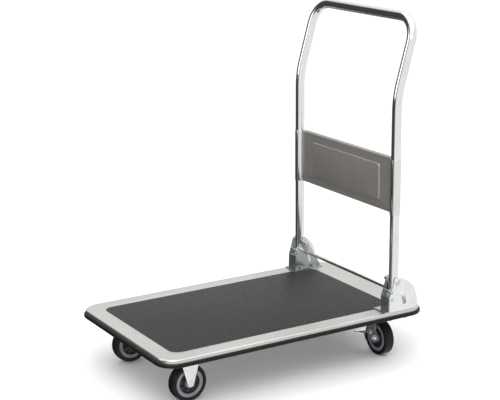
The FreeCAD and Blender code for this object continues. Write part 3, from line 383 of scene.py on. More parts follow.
# ---- Finishes -----------------------------------------------------------
class Finish:
    """A material with small helpers for its nodes."""

    def __init__(self, name, colour, metallic, roughness):
        self.material = bpy.data.materials.new(name)
        self.material.use_nodes = True
        self.tree = self.material.node_tree
        self.shader = self.tree.nodes["Principled BSDF"]
        self.shader.inputs["Base Color"].default_value = (*colour, 1)
        self.shader.inputs["Metallic"].default_value = metallic
        self.shader.inputs["Roughness"].default_value = roughness
        self.place = self.tree.nodes.new("ShaderNodeTexCoord").outputs["Object"]
        self.normal = None

    def join(self, source, target):
        self.tree.links.new(source, target)

    def grain(self, scale, detail=4.0, stretch=(1, 1, 1)):
        mapping = self.tree.nodes.new("ShaderNodeMapping")
        mapping.inputs["Scale"].default_value = stretch
        self.join(self.place, mapping.inputs["Vector"])
        noise = self.tree.nodes.new("ShaderNodeTexNoise")
        noise.inputs["Scale"].default_value = scale
        noise.inputs["Detail"].default_value = detail
        self.join(mapping.outputs["Vector"], noise.inputs["Vector"])
        return noise.outputs["Fac"]

    def cells(self, scale, feature="F1", output="Distance"):
        voronoi = self.tree.nodes.new("ShaderNodeTexVoronoi")
        voronoi.feature = feature
        voronoi.inputs["Scale"].default_value = scale
        self.join(self.place, voronoi.inputs["Vector"])
        return voronoi.outputs[output]

    def spread(self, source, low, high, start=0.35, stop=0.65):
        span = self.tree.nodes.new("ShaderNodeMapRange")
        span.interpolation_type = "SMOOTHSTEP"
        span.inputs["From Min"].default_value = start
        span.inputs["From Max"].default_value = stop
        span.inputs["To Min"].default_value = low
        span.inputs["To Max"].default_value = high
        self.join(source, span.inputs["Value"])
        return span.outputs["Result"]

    def colours(self, factor, first, second):
        mix = self.tree.nodes.new("ShaderNodeMix")
        mix.data_type = "RGBA"
        self.join(factor, mix.inputs["Factor"])
        for socket, colour in ((mix.inputs["A"], first), (mix.inputs["B"], second)):
            if isinstance(colour, bpy.types.NodeSocket):
                self.join(colour, socket)
            else:
                socket.default_value = (*colour, 1)
        return mix.outputs["Result"]

    def paint(self, colour):
        self.join(colour, self.shader.inputs["Base Color"])

    def dull(self, roughness):
        self.join(roughness, self.shader.inputs["Roughness"])

    def relief(self, height, depth, strength=1.0):
        bump = self.tree.nodes.new("ShaderNodeBump")
        bump.inputs["Strength"].default_value = strength
        bump.inputs["Distance"].default_value = depth
        self.join(height, bump.inputs["Height"])
        if self.normal:
            self.join(self.normal, bump.inputs["Normal"])
        self.normal = bump.outputs["Normal"]
        self.join(self.normal, self.shader.inputs["Normal"])


def shade(colour, factor):
    return tuple(min(1.0, channel * factor) for channel in colour)


def platform_coat(colour):
    """Satin metallic coat of the pan, with fine orange peel and light scuffs along it."""
    finish = Finish("platform_coat", colour, 0.96, 0.30)
    mottle = finish.spread(finish.grain(7, 3), 0, 1)
    flecks = finish.spread(finish.grain(900, 2), 0, 1, 0.68, 0.74)
    base = finish.colours(mottle, shade(colour, 0.965), shade(colour, 1.035))
    finish.paint(finish.colours(flecks, base, shade(colour, 0.94)))
    scuffs = finish.grain(60, 6, (1, 9, 9))
    finish.dull(finish.spread(scuffs, 0.27, 0.32, 0.3, 0.7))
    finish.relief(finish.grain(650, 3), 0.00005, 0.15)
    finish.relief(finish.grain(25, 2), 0.0003, 0.02)
    return finish.material


def mat_vinyl(colour):
    """Pebbled vinyl with worn and dusty patches."""
    finish = Finish("mat_vinyl", colour, 0.0, 0.55)
    finish.shader.inputs["Specular IOR Level"].default_value = 0.32
    pebbles = finish.cells(520, "SMOOTH_F1")
    worn = finish.spread(finish.grain(5, 5), 0, 1, 0.35, 0.7)
    dust = finish.spread(finish.grain(40, 8), 0, 1, 0.55, 0.75)
    base = finish.colours(worn, shade(colour, 0.95), shade(colour, 1.06))
    finish.paint(finish.colours(dust, base, shade(colour, 1.2)))
    finish.dull(finish.spread(finish.grain(90, 6), 0.50, 0.58, 0.3, 0.7))
    finish.relief(pebbles, 0.00035, 0.42)
    finish.relief(finish.grain(1800, 2), 0.00008, 0.4)
    return finish.material


def moulded_rubber(name, colour, roughness, dusty):
    finish = Finish(name, colour, 0.0, roughness)
    finish.shader.inputs["Specular IOR Level"].default_value = 0.22
    dust = finish.spread(finish.grain(70, 8), 0, 1, 0.5, 0.8)
    finish.paint(finish.colours(dust, colour, shade(colour, dusty)))
    finish.dull(finish.spread(finish.grain(30, 5), roughness - 0.07, roughness + 0.1, 0.3, 0.7))
    finish.relief(finish.grain(1400, 3), 0.00012, 0.5)
    return finish.material


def moulded_plastic(name, colour, roughness=0.42):
    finish = Finish(name, colour, 0.0, roughness)
    mottle = finish.spread(finish.grain(55, 5), 0, 1, 0.35, 0.7)
    finish.paint(finish.colours(mottle, shade(colour, 0.9), shade(colour, 1.08)))
    finish.dull(finish.spread(finish.grain(160, 4), roughness - 0.06, roughness + 0.08, 0.3, 0.7))
    finish.relief(finish.grain(1100, 3), 0.0001, 0.45)
    return finish.material


def chrome_plate(name, colour, roughness=0.07):
    """Bright plating with a faint haze and fine polishing lines along the tube."""
    finish = Finish(name, colour, 1.0, roughness)
    haze = finish.spread(finish.grain(18, 6), 0, 1, 0.45, 0.75)
    finish.paint(finish.colours(haze, colour, shade(colour, 0.94)))
    finish.dull(finish.spread(finish.grain(90, 7, (1, 1, 0.25)), roughness, roughness + 0.08, 0.4, 0.8))
    finish.relief(finish.grain(500, 3, (1, 1, 0.1)), 0.00002, 0.2)
    return finish.material


def zinc_plating(name, colour, roughness=0.24):
    """Smooth bright zinc with soft cloudy patches and a little tarnish."""
    finish = Finish(name, colour, 0.9, roughness)
    cloud = finish.spread(finish.grain(24, 5), 0, 1, 0.3, 0.7)
    base = finish.colours(cloud, shade(colour, 0.95), shade(colour, 1.03))
    tarnish = finish.spread(finish.grain(60, 7), 0, 0.4, 0.6, 0.85)
    finish.paint(finish.colours(tarnish, base, shade(colour, 0.92)))
    finish.dull(finish.spread(finish.grain(120, 5), roughness - 0.04, roughness + 0.08, 0.3, 0.75))
    finish.relief(finish.grain(300, 3), 0.00002, 0.02)
    return finish.material


def brushed_steel(name, colour, roughness=0.34):
    """Satin steel with brush lines along the panel."""
    finish = Finish(name, colour, 0.6, roughness)
    streaks = finish.grain(420, 3, (1, 0.03, 1))
    mottle = finish.spread(finish.grain(9, 4), 0, 1, 0.35, 0.7)
    base = finish.colours(mottle, shade(colour, 0.94), shade(colour, 1.06))
    finish.paint(finish.colours(finish.spread(streaks, 0, 0.5, 0.4, 0.7), base, shade(colour, 0.82)))
    finish.dull(finish.spread(streaks, roughness - 0.06, roughness + 0.1, 0.35, 0.65))
    finish.relief(streaks, 0.00005, 0.25)
    return finish.material


# ---- Platform -----------------------------------------------------------
class CART_OT_platform_pan(bpy.types.Operator):
    """Sheet pan with a rolled edge, a recess for the mat and a pressed line on each long rim"""
    bl_idname = "cart.platform_pan"
    bl_label = "Platform Pan"

    def execute(self, context):
        settings = context.scene.cart_platform
        low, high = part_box("deck_pan")
        mat_low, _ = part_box("deck_mat")
        roll = settings.edge_roll
        sheet = settings.sheet
        outline = rounded_outline(low, high, settings.corner_radius)
        recess = mat_outline(settings)
        gap = settings.mat_gap
        bm = bmesh.new()
        steps = []
        for step in range(ROLL_STEPS + 1):
            turn = math.radians(90 * step / ROLL_STEPS)
            steps.append((roll * (math.sin(turn) - 1), high.z - roll * (1 - math.cos(turn))))
        steps += [(0, low.z + 0.0004), (-0.0002, low.z), (-sheet + 0.0002, low.z), (-sheet, low.z + 0.0004)]
        inner = roll - sheet
        for step in range(ROLL_STEPS, -1, -1):
            turn = math.radians(90 * step / ROLL_STEPS)
            growth = inner * (math.sin(turn) - 1) - sheet
            steps.append((growth, high.z - sheet - inner * (1 - math.cos(turn))))
        rings = stacked(bm, outline, steps, open_start=True, open_end=True)
        floor = mat_low.z
        top_recess = stacked(bm, recess, [(gap + 0.0005, high.z), (gap + 0.00015, high.z - 0.00015),
                                          (gap, high.z - 0.0005), (gap, floor)], open_start=True)
        under_recess = stacked(bm, recess, [(gap + sheet, high.z - sheet), (gap + sheet, floor - sheet)],
                               open_start=True)
        grooves = []
        half = settings.line_length / 2
        width = settings.line_width / 2
        depth = settings.line_depth
        for _, side in SIDES:
            y = side * (high.y - settings.line_inset)
            groove_low = (settings.line_middle - half, y - width)
            groove_high = (settings.line_middle + half, y + width)
            groove = rounded_outline(groove_low, groove_high, width * 0.98, 6)
            rim = stacked(bm, groove, [(0, high.z), (-0.0003, high.z - depth * 0.3),
                                       (-0.0006, high.z - depth * 0.85), (-0.0008, high.z - depth)],
                          open_start=True)
            grooves.append(rim[0])
        flat_between(bm, rings[0], [top_recess[0]] + grooves)
        flat_between(bm, rings[-1], [under_recess[0]])
        mesh = finish_mesh("platform_pan", bm)
        finish = platform_coat(settings.paint)
        put_in_scene("platform_pan", mesh, finish, "deck", ["deck_pan"], 40)
        return {"FINISHED"}


class CART_OT_platform_mat(bpy.types.Operator):
    """Grained vinyl mat with softened edges, lying in the recess"""
    bl_idname = "cart.platform_mat"
    bl_label = "Platform Mat"

    def execute(self, context):
        settings = context.scene.cart_platform
        low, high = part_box("deck_mat")
        edge = settings.mat_edge
        bm = bmesh.new()
        stacked(bm, mat_outline(settings), [(0, low.z), (0, high.z - edge),
                                            (-edge * 0.3, high.z - edge * 0.3), (-edge, high.z)])
        mesh = finish_mesh("platform_mat", bm)
        put_in_scene("platform_mat", mesh, mat_vinyl(settings.vinyl), "deck", ["deck_mat"])
        return {"FINISHED"}


class CART_OT_edge_bumper(bpy.types.Operator):
    """Rubber extrusion that wraps the skirt, round outside and with a shallow line along it"""
    bl_idname = "cart.edge_bumper"
    bl_label = "Edge Bumper"

    def execute(self, context):
        settings = context.scene.cart_platform
        low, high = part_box("edge_bumper")
        pan_low, pan_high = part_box("deck_pan")
        proud = settings.bumper_proud
        upper_round = 0.0026
        lower_round = 0.0034
        lip_z = low.z + (high.z - low.z) * 0.37
        centre = (high.z + low.z) / 2
        section = [(0.0002, high.z), (proud - upper_round, high.z)]
        for step in range(1, 6):
            turn = math.radians(18 * step)
            section.append((proud - upper_round + upper_round * math.sin(turn),
                            high.z - upper_round * (1 - math.cos(turn))))
        section += [(proud, centre + 0.0008), (proud - 0.0005, centre + 0.0003),
                    (proud - 0.0005, centre - 0.0003), (proud, centre - 0.0008)]
        for step in range(5, -1, -1):
            turn = math.radians(18 * step)
            section.append((proud - lower_round + lower_round * math.sin(turn),
                            low.z + lower_round * (1 - math.cos(turn))))
        sheet = settings.sheet
        wall = -sheet - 0.003
        section += [(wall + 0.0008, low.z), (wall, low.z + 0.0008), (wall, high.z - 0.0006),
                    (wall + 0.0006, high.z), (-sheet - 0.0002, high.z), (-sheet, high.z - 0.0002),
                    (-sheet, lip_z), (0, lip_z), (0, high.z - 0.0002)]
        outline = rounded_outline(pan_low, pan_high, settings.corner_radius, 18)
        bm = bmesh.new()
        rings = [ring_of(bm, grown(outline, growth), z) for growth, z in section]
        for index, ring in enumerate(rings):
            bridge(bm, ring, rings[(index + 1) % len(rings)])
        mesh = finish_mesh("bumper_strip", bm)
        finish = moulded_rubber("bumper_rubber", settings.rubber, 0.42, 1.8)
        put_in_scene("bumper_strip", mesh, finish, "deck", ["edge_bumper"], 50)
        return {"FINISHED"}


class CART_OT_under_channels(bpy.types.Operator):
    """Pressed channels welded under the pan"""
    bl_idname = "cart.under_channels"
    bl_label = "Channels"

    def execute(self, context):
        finish = zinc_plating("channel_steel", (0.42, 0.42, 0.43), 0.4)
        names = ("front_cross_channel", "rear_cross_channel", "centre_rail")
        dress(names, finish, PLATE_EDGE)
        return {"FINISHED"}


# ---- Handle brackets ----------------------------------------------------
class CART_OT_bracket_plates(bpy.types.Operator):
    """Zinc-plated side plates of the handle brackets, the inner ones in zinc darkened as painted shade"""
    bl_idname = "cart.bracket_plates"
    bl_label = "Bracket Plates"

    def execute(self, context):
        zinc = context.scene.cart_handle.zinc
        # The inner plates take the same zinc darkened to about half: painted shade for the shade that falls
        # between the bracket plates.
        inner = (zinc[0] * 0.52, zinc[1] * 0.56, zinc[2] * 0.56)
        for kind, finish in (("outer", zinc_plating("bracket_zinc", zinc, 0.24)),
                             ("inner", zinc_plating("inner_zinc_painted_shade", inner, 0.17))):
            dress([f"{word}_{kind}_plate" for word, _ in SIDES], finish, PLATE_EDGE)
        return {"FINISHED"}


class CART_OT_bracket_fasteners(bpy.types.Operator):
    """Pivot bolts, rivets, stop pins, washers, deck bolts and their nuts"""
    bl_idname = "cart.bracket_fasteners"
    bl_label = "Bracket Fasteners"

    def execute(self, context):
        zinc = context.scene.cart_handle.zinc
        finish = zinc_plating("fastener_zinc", shade(zinc, 0.70), 0.26)
        dress(("left_bracket_rivet", "right_bracket_rivet", "stop_pins", "bracket_bolts", "bracket_nuts",
               "pivot_bolts", "pivot_nuts", "pivot_washers"), finish, FINE_EDGE)
        return {"FINISHED"}


# ---- Handle -------------------------------------------------------------
def middle_of_upright(settings):
    _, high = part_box("handle_tube")
    return high.y - settings.tube_radius


def handle_route(settings):
    """Centre line of the tube, from the left end over the top to the right end."""
    foot = middle("pivot_bushes")
    low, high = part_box("handle_tube")
    _, deck_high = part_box("deck_pan")
    spread = middle_of_upright(settings)
    lean = settings.lean_angle
    bend_z = deck_high.z + settings.lean_start
    radius = settings.lean_radius
    slope = Vector((math.sin(lean), 0, math.cos(lean)))
    bend_end = Vector((foot.x + radius * (1 - math.cos(lean)), 0, bend_z + radius * math.sin(lean)))
    top_z = high.z - settings.tube_radius
    top_x = bend_end.x + (top_z - bend_end.z) * math.tan(lean)
    corner = settings.corner_radius
    half = []
    for step in range(FOOT_STEPS):
        half.append(Vector((foot.x, -spread, low.z + (bend_z - low.z) * step / FOOT_STEPS)))
    for step in range(LEAN_STEPS + 1):
        turn = lean * step / LEAN_STEPS
        x = foot.x + radius * (1 - math.cos(turn))
        half.append(Vector((x, -spread, bend_z + radius * math.sin(turn))))
    centre = Vector((top_x, -spread, top_z)) - slope * corner + Y_AXIS * corner
    rise = centre - Y_AXIS * corner - half[-1]
    half += [half[-1] + rise * (step / RISE_STEPS) for step in range(1, RISE_STEPS)]
    for step in range(CORNER_STEPS + 1):
        turn = math.radians(90) * step / CORNER_STEPS
        half.append(centre - Y_AXIS * (corner * math.cos(turn)) + slope * (corner * math.sin(turn)))
    half += [half[-1] + Y_AXIS * (half[-1].y * -step / TOP_STEPS) for step in range(1, TOP_STEPS)]
    other = [Vector((point.x, -point.y, point.z)) for point in reversed(half)]
    return half + [Vector((top_x, 0, top_z))] + other


class CART_OT_handle_tube(bpy.types.Operator):
    """Bent chrome tube with its open ends, end plugs and pivot bushes"""
    bl_idname = "cart.handle_tube"
    bl_label = "Handle Tube"

    def execute(self, context):
        settings = context.scene.cart_handle
        path = handle_route(settings)
        last = len(path) - 1
        outer = settings.tube_radius
        inner = outer - settings.tube_wall
        flare = inner + 0.0004
        order = [1, 0, 0] + list(range(last + 1)) + [last, last, last - 1]
        radii = [inner, inner, flare] + [outer] * (last + 1) + [flare, inner, inner]
        bm = bmesh.new()
        swept(bm, path, radii, 64, order)
        mesh = finish_mesh("chrome_tube", bm)
        put_in_scene("chrome_tube", mesh, chrome_plate("tube_chrome", settings.chrome, 0.13), "handle",
                     ["handle_tube"])
        plugs = moulded_plastic("plug_plastic", (0.03, 0.03, 0.03))
        dress(("tube_end_plugs",), plugs, PLATE_EDGE)
        nylon = moulded_plastic("bush_nylon", (0.55, 0.54, 0.50))
        dress(("pivot_bushes",), nylon, FINE_EDGE)
        return {"FINISHED"}


def panel_web(bm, settings):
    """Front face of the panel: flat web, pressed field and two flange bends, as an open sheet."""
    low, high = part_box("handle_panel")
    foot = middle("pivot_bushes")
    face = foot.x - settings.panel_sheet / 2
    bend = settings.panel_bend
    flange_x = high.x
    reach = high.y - 2 * (high.y - middle_of_upright(settings)) + 0.0006
    flange_reach = reach - 0.003
    lower = low.z + bend
    upper = high.z - bend

    def corner(y, z):
        return bm.verts.new((face, y, z))

    web = [corner(-flange_reach, lower), corner(flange_reach, lower), corner(flange_reach, low.z),
           corner(reach, low.z), corner(reach, high.z), corner(flange_reach, high.z),
           corner(flange_reach, upper), corner(-flange_reach, upper), corner(-flange_reach, high.z),
           corner(-reach, high.z), corner(-reach, low.z), corner(-flange_reach, low.z)]
    middle_z = (low.z + high.z) / 2
    half_y = settings.field_length / 2
    half_z = settings.field_height / 2
    outline = rounded_outline((-half_y, -half_z), (half_y, half_z), settings.field_corner, 10)
    steps = ((0.0020, 0), (0.0013, 0.07), (0.0006, 0.25), (0, 0.5), (-0.0006, 0.75), (-0.0013, 0.93),
             (-0.0020, 1))
    rings = []
    for growth, share in steps:
        rings.append([bm.verts.new((face - settings.field_raise * share, point[0], middle_z + point[1]))
                      for point in grown(outline, growth - 0.0004)])
    for first, second in zip(rings, rings[1:]):
        bridge(bm, first, second)
    bm.faces.new(rings[-1])
    flat_between(bm, web, [rings[0]])
    for start, end, z, sign in ((web[0], web[1], low.z, 1), (web[7], web[6], high.z, -1)):
        before = [start, end]
        for step in range(1, ROLL_STEPS + 1):
            turn = math.radians(90 * step / ROLL_STEPS)
            x = face + bend * (1 - math.cos(turn))
            height = z + sign * bend * (1 - math.sin(turn))
            pair = [bm.verts.new((x, -flange_reach, height)), bm.verts.new((x, flange_reach, height))]
            bm.faces.new((before[0], before[1], pair[1], pair[0]))
            before = pair
        pair = [bm.verts.new((flange_x, -flange_reach, z)), bm.verts.new((flange_x, flange_reach, z))]
        bm.faces.new((before[0], before[1], pair[1], pair[0]))


class CART_OT_handle_panel(bpy.types.Operator):
    """Pressed panel with flanged edges, a pressed field and sleeves round the uprights"""
    bl_idname = "cart.handle_panel"
    bl_label = "Handle Panel"

    def execute(self, context):
        settings = context.scene.cart_handle
        low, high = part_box("handle_panel")
        foot = middle("pivot_bushes")
        bm = bmesh.new()
        panel_web(bm, settings)
        sheet = finish_mesh("panel_sheet", bm)
        carrier = bpy.data.objects.new("panel_carrier", sheet)
        context.scene.collection.objects.link(carrier)
        thick = carrier.modifiers.new("sheet", "SOLIDIFY")
        thick.thickness = settings.panel_sheet
        facing = max(sheet.polygons, key=lambda polygon: polygon.area).normal.x
        thick.offset = -1 if facing < 0 else 1
        view = context.evaluated_depsgraph_get()
        mesh = bpy.data.meshes.new_from_object(carrier.evaluated_get(view))
        bpy.data.objects.remove(carrier)
        mesh.name = "panel_web"
        # The dark panel colour stands for the dark room that the flat face reflects: painted reflection on
        # metal as bright as the sleeves.
        finish = brushed_steel("panel_steel", settings.panel)
        piece = put_in_scene("panel_web", mesh, finish, "handle", ["handle_panel"], 40)
        soften(piece, FINE_EDGE)
        spread = middle_of_upright(settings)
        outer = high.y - spread
        inner = settings.tube_radius + 0.00005
        bm = bmesh.new()
        for _, side in SIDES:
            centre = Vector((foot.x, side * spread, 0))
            profile = [(inner, low.z), (outer - 0.0003, low.z), (outer - 0.0001, low.z + 0.0001),
                       (outer, low.z + 0.0004), (outer, high.z - 0.0004), (outer - 0.0001, high.z - 0.0001),
                       (outer - 0.0003, high.z), (inner, high.z)]
            turned(bm, profile, centre, Z_AXIS, 64)
        mesh = finish_mesh("panel_sleeves", bm)
        finish = chrome_plate("sleeve_plate", shade(settings.chrome, 0.93), 0.17)
        put_in_scene("panel_sleeves", mesh, finish, "handle", [])
        finish = zinc_plating("panel_rivet_zinc", settings.zinc, 0.25)
        dress(("panel_rivets",), finish, FINE_EDGE)
        return {"FINISHED"}


# ---- Release bar and springs --------------------------------------------
class CART_OT_release_bar(bpy.types.Operator):
    """Chrome foot bar with chamfered ends and its two clips"""
    bl_idname = "cart.release_bar"
    bl_label = "Release Bar"

    def execute(self, context):
        low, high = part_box("release_bar")
        radius = (high.z - low.z) / 2
        half = high.y
        centre = Vector(((low.x + high.x) / 2, 0, (low.z + high.z) / 2))
        profile = [(0, -half), (radius - 0.0011, -half), (radius - 0.0009, -half + 0.0001),
                   (radius - 0.0001, -half + 0.0009), (radius, -half + 0.0012), (radius, half - 0.0012),
                   (radius - 0.0001, half - 0.0009), (radius - 0.0009, half - 0.0001),
                   (radius - 0.0011, half), (0, half)]
        bm = bmesh.new()
        turned(bm, profile, centre, Y_AXIS, 48, closed=False)
        mesh = finish_mesh("foot_bar", bm)
        settings = context.scene.cart_handle
        finish = chrome_plate("bar_chrome", settings.chrome, 0.09)
        put_in_scene("foot_bar", mesh, finish, "release_bar", ["release_bar"])
        dress(("bar_clips",), zinc_plating("clip_zinc", settings.zinc, 0.3), PLATE_EDGE)
        return {"FINISHED"}


def spring_route(upper, lower, settings):
    """One wire: loop round the upper pin, coil, loop round the lower bar."""
    wire = settings.spring_wire
    coil = settings.spring_coil
    along = (lower - upper).normalized()
    side = along.cross(Y_AXIS).normalized()
    upper_loop = HOOK_PIN_RADIUS + HOOK_GAP + wire
    lower_loop = HOOK_BAR_RADIUS + HOOK_GAP + wire

    def hook(centre, radius, first_turn):
        places = []
        for step in range(HOOK_STEPS + 1):
            turn = math.radians(first_turn + HOOK_SWEEP * step / HOOK_STEPS)
            places.append(centre + side * (radius * math.sin(turn)) - along * (radius * math.cos(turn)))
        return places

    points = hook(upper, upper_loop, -150)
    start = upper + along * (upper_loop + HOOK_LEAD)
    end = lower - along * (lower_loop + HOOK_LEAD)
    length = (end - start).length
    turns = settings.spring_turns
    steps = turns * COIL_STEPS
    for step in range(steps + 1):
        share = step / steps
        ease = min(1.0, share * turns * 2, (1 - share) * turns * 2)
        turn = 2 * math.pi * turns * share
        radius = coil * (COIL_END + (1 - COIL_END) * ease)
        points.append(start + along * (length * share) + side * (radius * math.cos(turn))
                      + Y_AXIS * (radius * math.sin(turn)))
    return points + hook(lower, lower_loop, 0)


class CART_OT_return_springs(bpy.types.Operator):
    """Coil springs between the pivot bolts and the foot bar"""
    bl_idname = "cart.return_springs"
    bl_label = "Return Springs"

    def execute(self, context):
        settings = context.scene.cart_handle
        pivot = middle("pivot_bushes")
        bar = middle("release_bar")
        finish = zinc_plating("spring_steel", (0.62, 0.62, 0.62), 0.22)
        for word, _ in SIDES:
            node = f"{word}_return_spring"
            low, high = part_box(node)
            hook_y = (low.y + high.y) / 2
            upper = Vector((pivot.x, hook_y, pivot.z))
            lower = Vector((bar.x, hook_y, bar.z))
            route = spring_route(upper, lower, settings)
            bm = bmesh.new()
            rings = swept(bm, route, [settings.spring_wire] * len(route), 10)
            bm.faces.new(rings[0])
            bm.faces.new(rings[-1])
            mesh = finish_mesh(f"{word}_coil_spring", bm)
            piece = put_in_scene(f"{word}_coil_spring", mesh, finish, None, [node], 60)
            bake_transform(piece)
        return {"FINISHED"}


# ---- Casters ------------------------------------------------------------
def wheel_axis(node):
    """Direction of a wheel's axle: the tyre's shortest side."""
    low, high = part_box(node)
    return X_AXIS if high.x - low.x < high.y - low.y else Y_AXIS


def mirrored_profile(points):
    return points + [(radius, -along) for radius, along in reversed(points)]


def tyre_mesh(name, centre, axis, radius, half, seat, shoulder):
    """Solid tyre: slightly crowned tread, round shoulders and a shallow line on each side wall."""
    crown = radius - 0.0004
    profile = [(radius, 0.0002), (radius - 0.0001, half - shoulder - 0.003), (crown, half - shoulder)]
    for step in range(1, 6):
        turn = math.radians(16 * step)
        profile.append((crown - shoulder * (1 - math.cos(turn)), half - shoulder + shoulder * math.sin(turn)))
    profile += [(radius - 0.0068, half), (radius - 0.0073, half - 0.0004), (radius - 0.0078, half - 0.0004),
                (radius - 0.0083, half - 0.0001), (seat + 0.0012, half - 0.0003),
                (seat + 0.0003, half - 0.0010), (seat, half - 0.002)]
    bm = bmesh.new()
    turned(bm, mirrored_profile(profile), centre, axis, 112)
    return finish_mesh(name, bm)


def rim_mesh(name, centre, axis, seat, half, settings):
    """Ribbed disc with a hub and a raised ring, and the numbers of its sunk faces, which are given painted
    shade
    """
    bore = 0.0073
    hub = 0.012
    web = settings.rim_web / 2
    bead = seat - settings.rim_band
    boss = half + 0.0025
    profile = [(seat, half - 0.0006), (seat - 0.0004, half), (bead + 0.0014, half),
               (bead + 0.0006, half - 0.0003), (bead + 0.0001, half - 0.0012), (bead - 0.0008, web + 0.003),
               (bead - 0.0016, web + 0.0012), (bead - 0.0034, web), (hub + 0.0040, web),
               (hub + 0.0018, web + 0.0010), (hub + 0.0006, half - 0.002), (hub, half),
               (hub - 0.0012, half + 0.0024), (hub - 0.0018, boss), (bore, boss)]
    bm = bmesh.new()
    turned(bm, mirrored_profile(profile), centre, axis, 96)
    first, second = across(axis)
    for index in range(settings.ribs):
        turn = 2 * math.pi * (index + 0.5) / settings.ribs
        out = first * math.cos(turn) + second * math.sin(turn)
        square = axis.cross(out)
        for face in (-1, 1):
            base = []
            for radius, height in ((hub, 0.0065), (bead - 0.0004, 0.0040)):
                for shift in (-1, 1):
                    root = centre + out * radius + square * (shift * 0.0014)
                    crest = centre + out * radius + square * (shift * 0.0009)
                    base.append((bm.verts.new(root + axis * (face * (web - 0.0005))),
                                 bm.verts.new(crest + axis * (face * (web + height)))))
            (a, a_top), (b, b_top), (c, c_top), (d, d_top) = base
            for corners in ((a_top, b_top, d_top, c_top), (a, a_top, c_top, c), (b, d, d_top, b_top),
                            (a, b, b_top, a_top), (c, c_top, d_top, d), (a, c, d, b)):
                bm.faces.new(corners)
    bm.faces.index_update()
    sunk = [face.index for face in bm.faces
            if abs((face.calc_center_median() - centre).dot(axis)) < half - 0.0025]
    return finish_mesh(name, bm), sunk


class CART_OT_wheels(bpy.types.Operator):
    """Solid tyres on moulded discs with ribs and bushes, the discs' sunk middles in painted shade"""
    bl_idname = "cart.wheels"
    bl_label = "Wheels"

    def execute(self, context):
        settings = context.scene.cart_casters
        rubber = moulded_rubber("tyre_rubber", settings.tyre, 0.5, 2.0)
        plastic = moulded_plastic("rim_plastic", settings.rim, 0.36)
        # The near-black finish for the sunk middle of the discs is painted shade, not the disc's own colour.
        dark = moulded_plastic("recess_painted_shade", settings.recess, 0.5)
        nylon = moulded_plastic("wheel_bush_nylon", (0.6, 0.59, 0.55), 0.38)
        for end in ("front", "rear"):
            for word, _ in SIDES:
                stem = f"{end}_{word}"
                body = f"{stem}_wheel"
                centre = middle(f"{stem}_tyre")
                axis = wheel_axis(f"{stem}_tyre")
                low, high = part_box(f"{stem}_tyre")
                rim_low, rim_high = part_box(f"{stem}_rim")
                radius = (high.z - low.z) / 2
                half = (high - low).dot(axis) / 2
                seat = (rim_high.z - rim_low.z) / 2
                rim_half = half - 0.0015
                name = f"{stem}_solid_tyre"
                mesh = tyre_mesh(name, centre, axis, radius, half, seat, settings.tyre_shoulder)
                put_in_scene(name, mesh, rubber, body, [f"{stem}_tyre"], 45)
                mesh, sunk = rim_mesh(f"{stem}_disc", centre, axis, seat, rim_half, settings)
                disc = put_in_scene(f"{stem}_disc", mesh, plastic, body, [f"{stem}_rim"], 40)
                # The sunk middle faces get the near-black second finish: painted shade in the disc's recess.
                disc.data.materials.append(dark)
                for index in sunk:
                    disc.data.polygons[index].material_index = 1
                dress((f"{stem}_bush",), nylon, FINE_EDGE)
        return {"FINISHED"}


class CART_OT_fixed_forks(bpy.types.Operator):
    """Fixed forks of the front wheels with their axle bolts and nuts"""
    bl_idname = "cart.fixed_forks"
    bl_label = "Fixed Forks"

    def execute(self, context):
        zinc = context.scene.cart_handle.zinc
        forks = [f"front_{word}_fork" for word, _ in SIDES]
        dress(forks, zinc_plating("fork_zinc", zinc, 0.24), PLATE_EDGE)
        names = [f"front_{word}_axle_{kind}" for word, _ in SIDES for kind in ("bolt", "nut")]
        dress(names, zinc_plating("axle_zinc", shade(zinc, 0.93), 0.28))
        return {"FINISHED"}


class CART_OT_swivel_casters(bpy.types.Operator):
    """Swivel forks, top plates, ball races, kingpins and axles of the rear wheels"""
    bl_idname = "cart.swivel_casters"
    bl_label = "Swivel Casters"

    def execute(self, context):
        zinc = context.scene.cart_handle.zinc
        plate = zinc_plating("caster_zinc", zinc, 0.25)
        fastener = zinc_plating("caster_fastener_zinc", shade(zinc, 0.93), 0.28)
        for word, _ in SIDES:
            stem = f"rear_{word}"
            names = [f"{stem}_{kind}" for kind in ("top_plate", "swivel_fork")]
            dress(names, plate, PLATE_EDGE)
            names = [f"{stem}_{kind}" for kind in ("axle_bolt", "axle_nut", "pedal_pins")]
            dress(names, fastener)
        dress(("kingpins",), fastener)
        dress(("swivel_balls",), chrome_plate("ball_steel", (0.7, 0.7, 0.72), 0.1), 0)
        return {"FINISHED"}


class CART_OT_brake_pedals(bpy.types.Operator):
    """Foot levers that press a shoe on the rear tyres"""
    bl_idname = "cart.brake_pedals"
    bl_label = "Brake Pedals"

    def execute(self, context):
        finish = zinc_plating("pedal_zinc", shade(context.scene.cart_handle.zinc, 0.98), 0.22)
        dress([f"rear_{word}_brake_pedal" for word, _ in SIDES], finish, PLATE_EDGE)
        return {"FINISHED"}


class CART_OT_caster_fasteners(bpy.types.Operator):
    """Bolts and nuts that hold the caster plates to the channels"""
    bl_idname = "cart.caster_fasteners"
    bl_label = "Caster Fasteners"

    def execute(self, context):
        finish = zinc_plating("plate_bolt_zinc", shade(context.scene.cart_handle.zinc, 0.93), 0.28)
        dress(("caster_bolts", "caster_nuts"), finish)
        return {"FINISHED"}


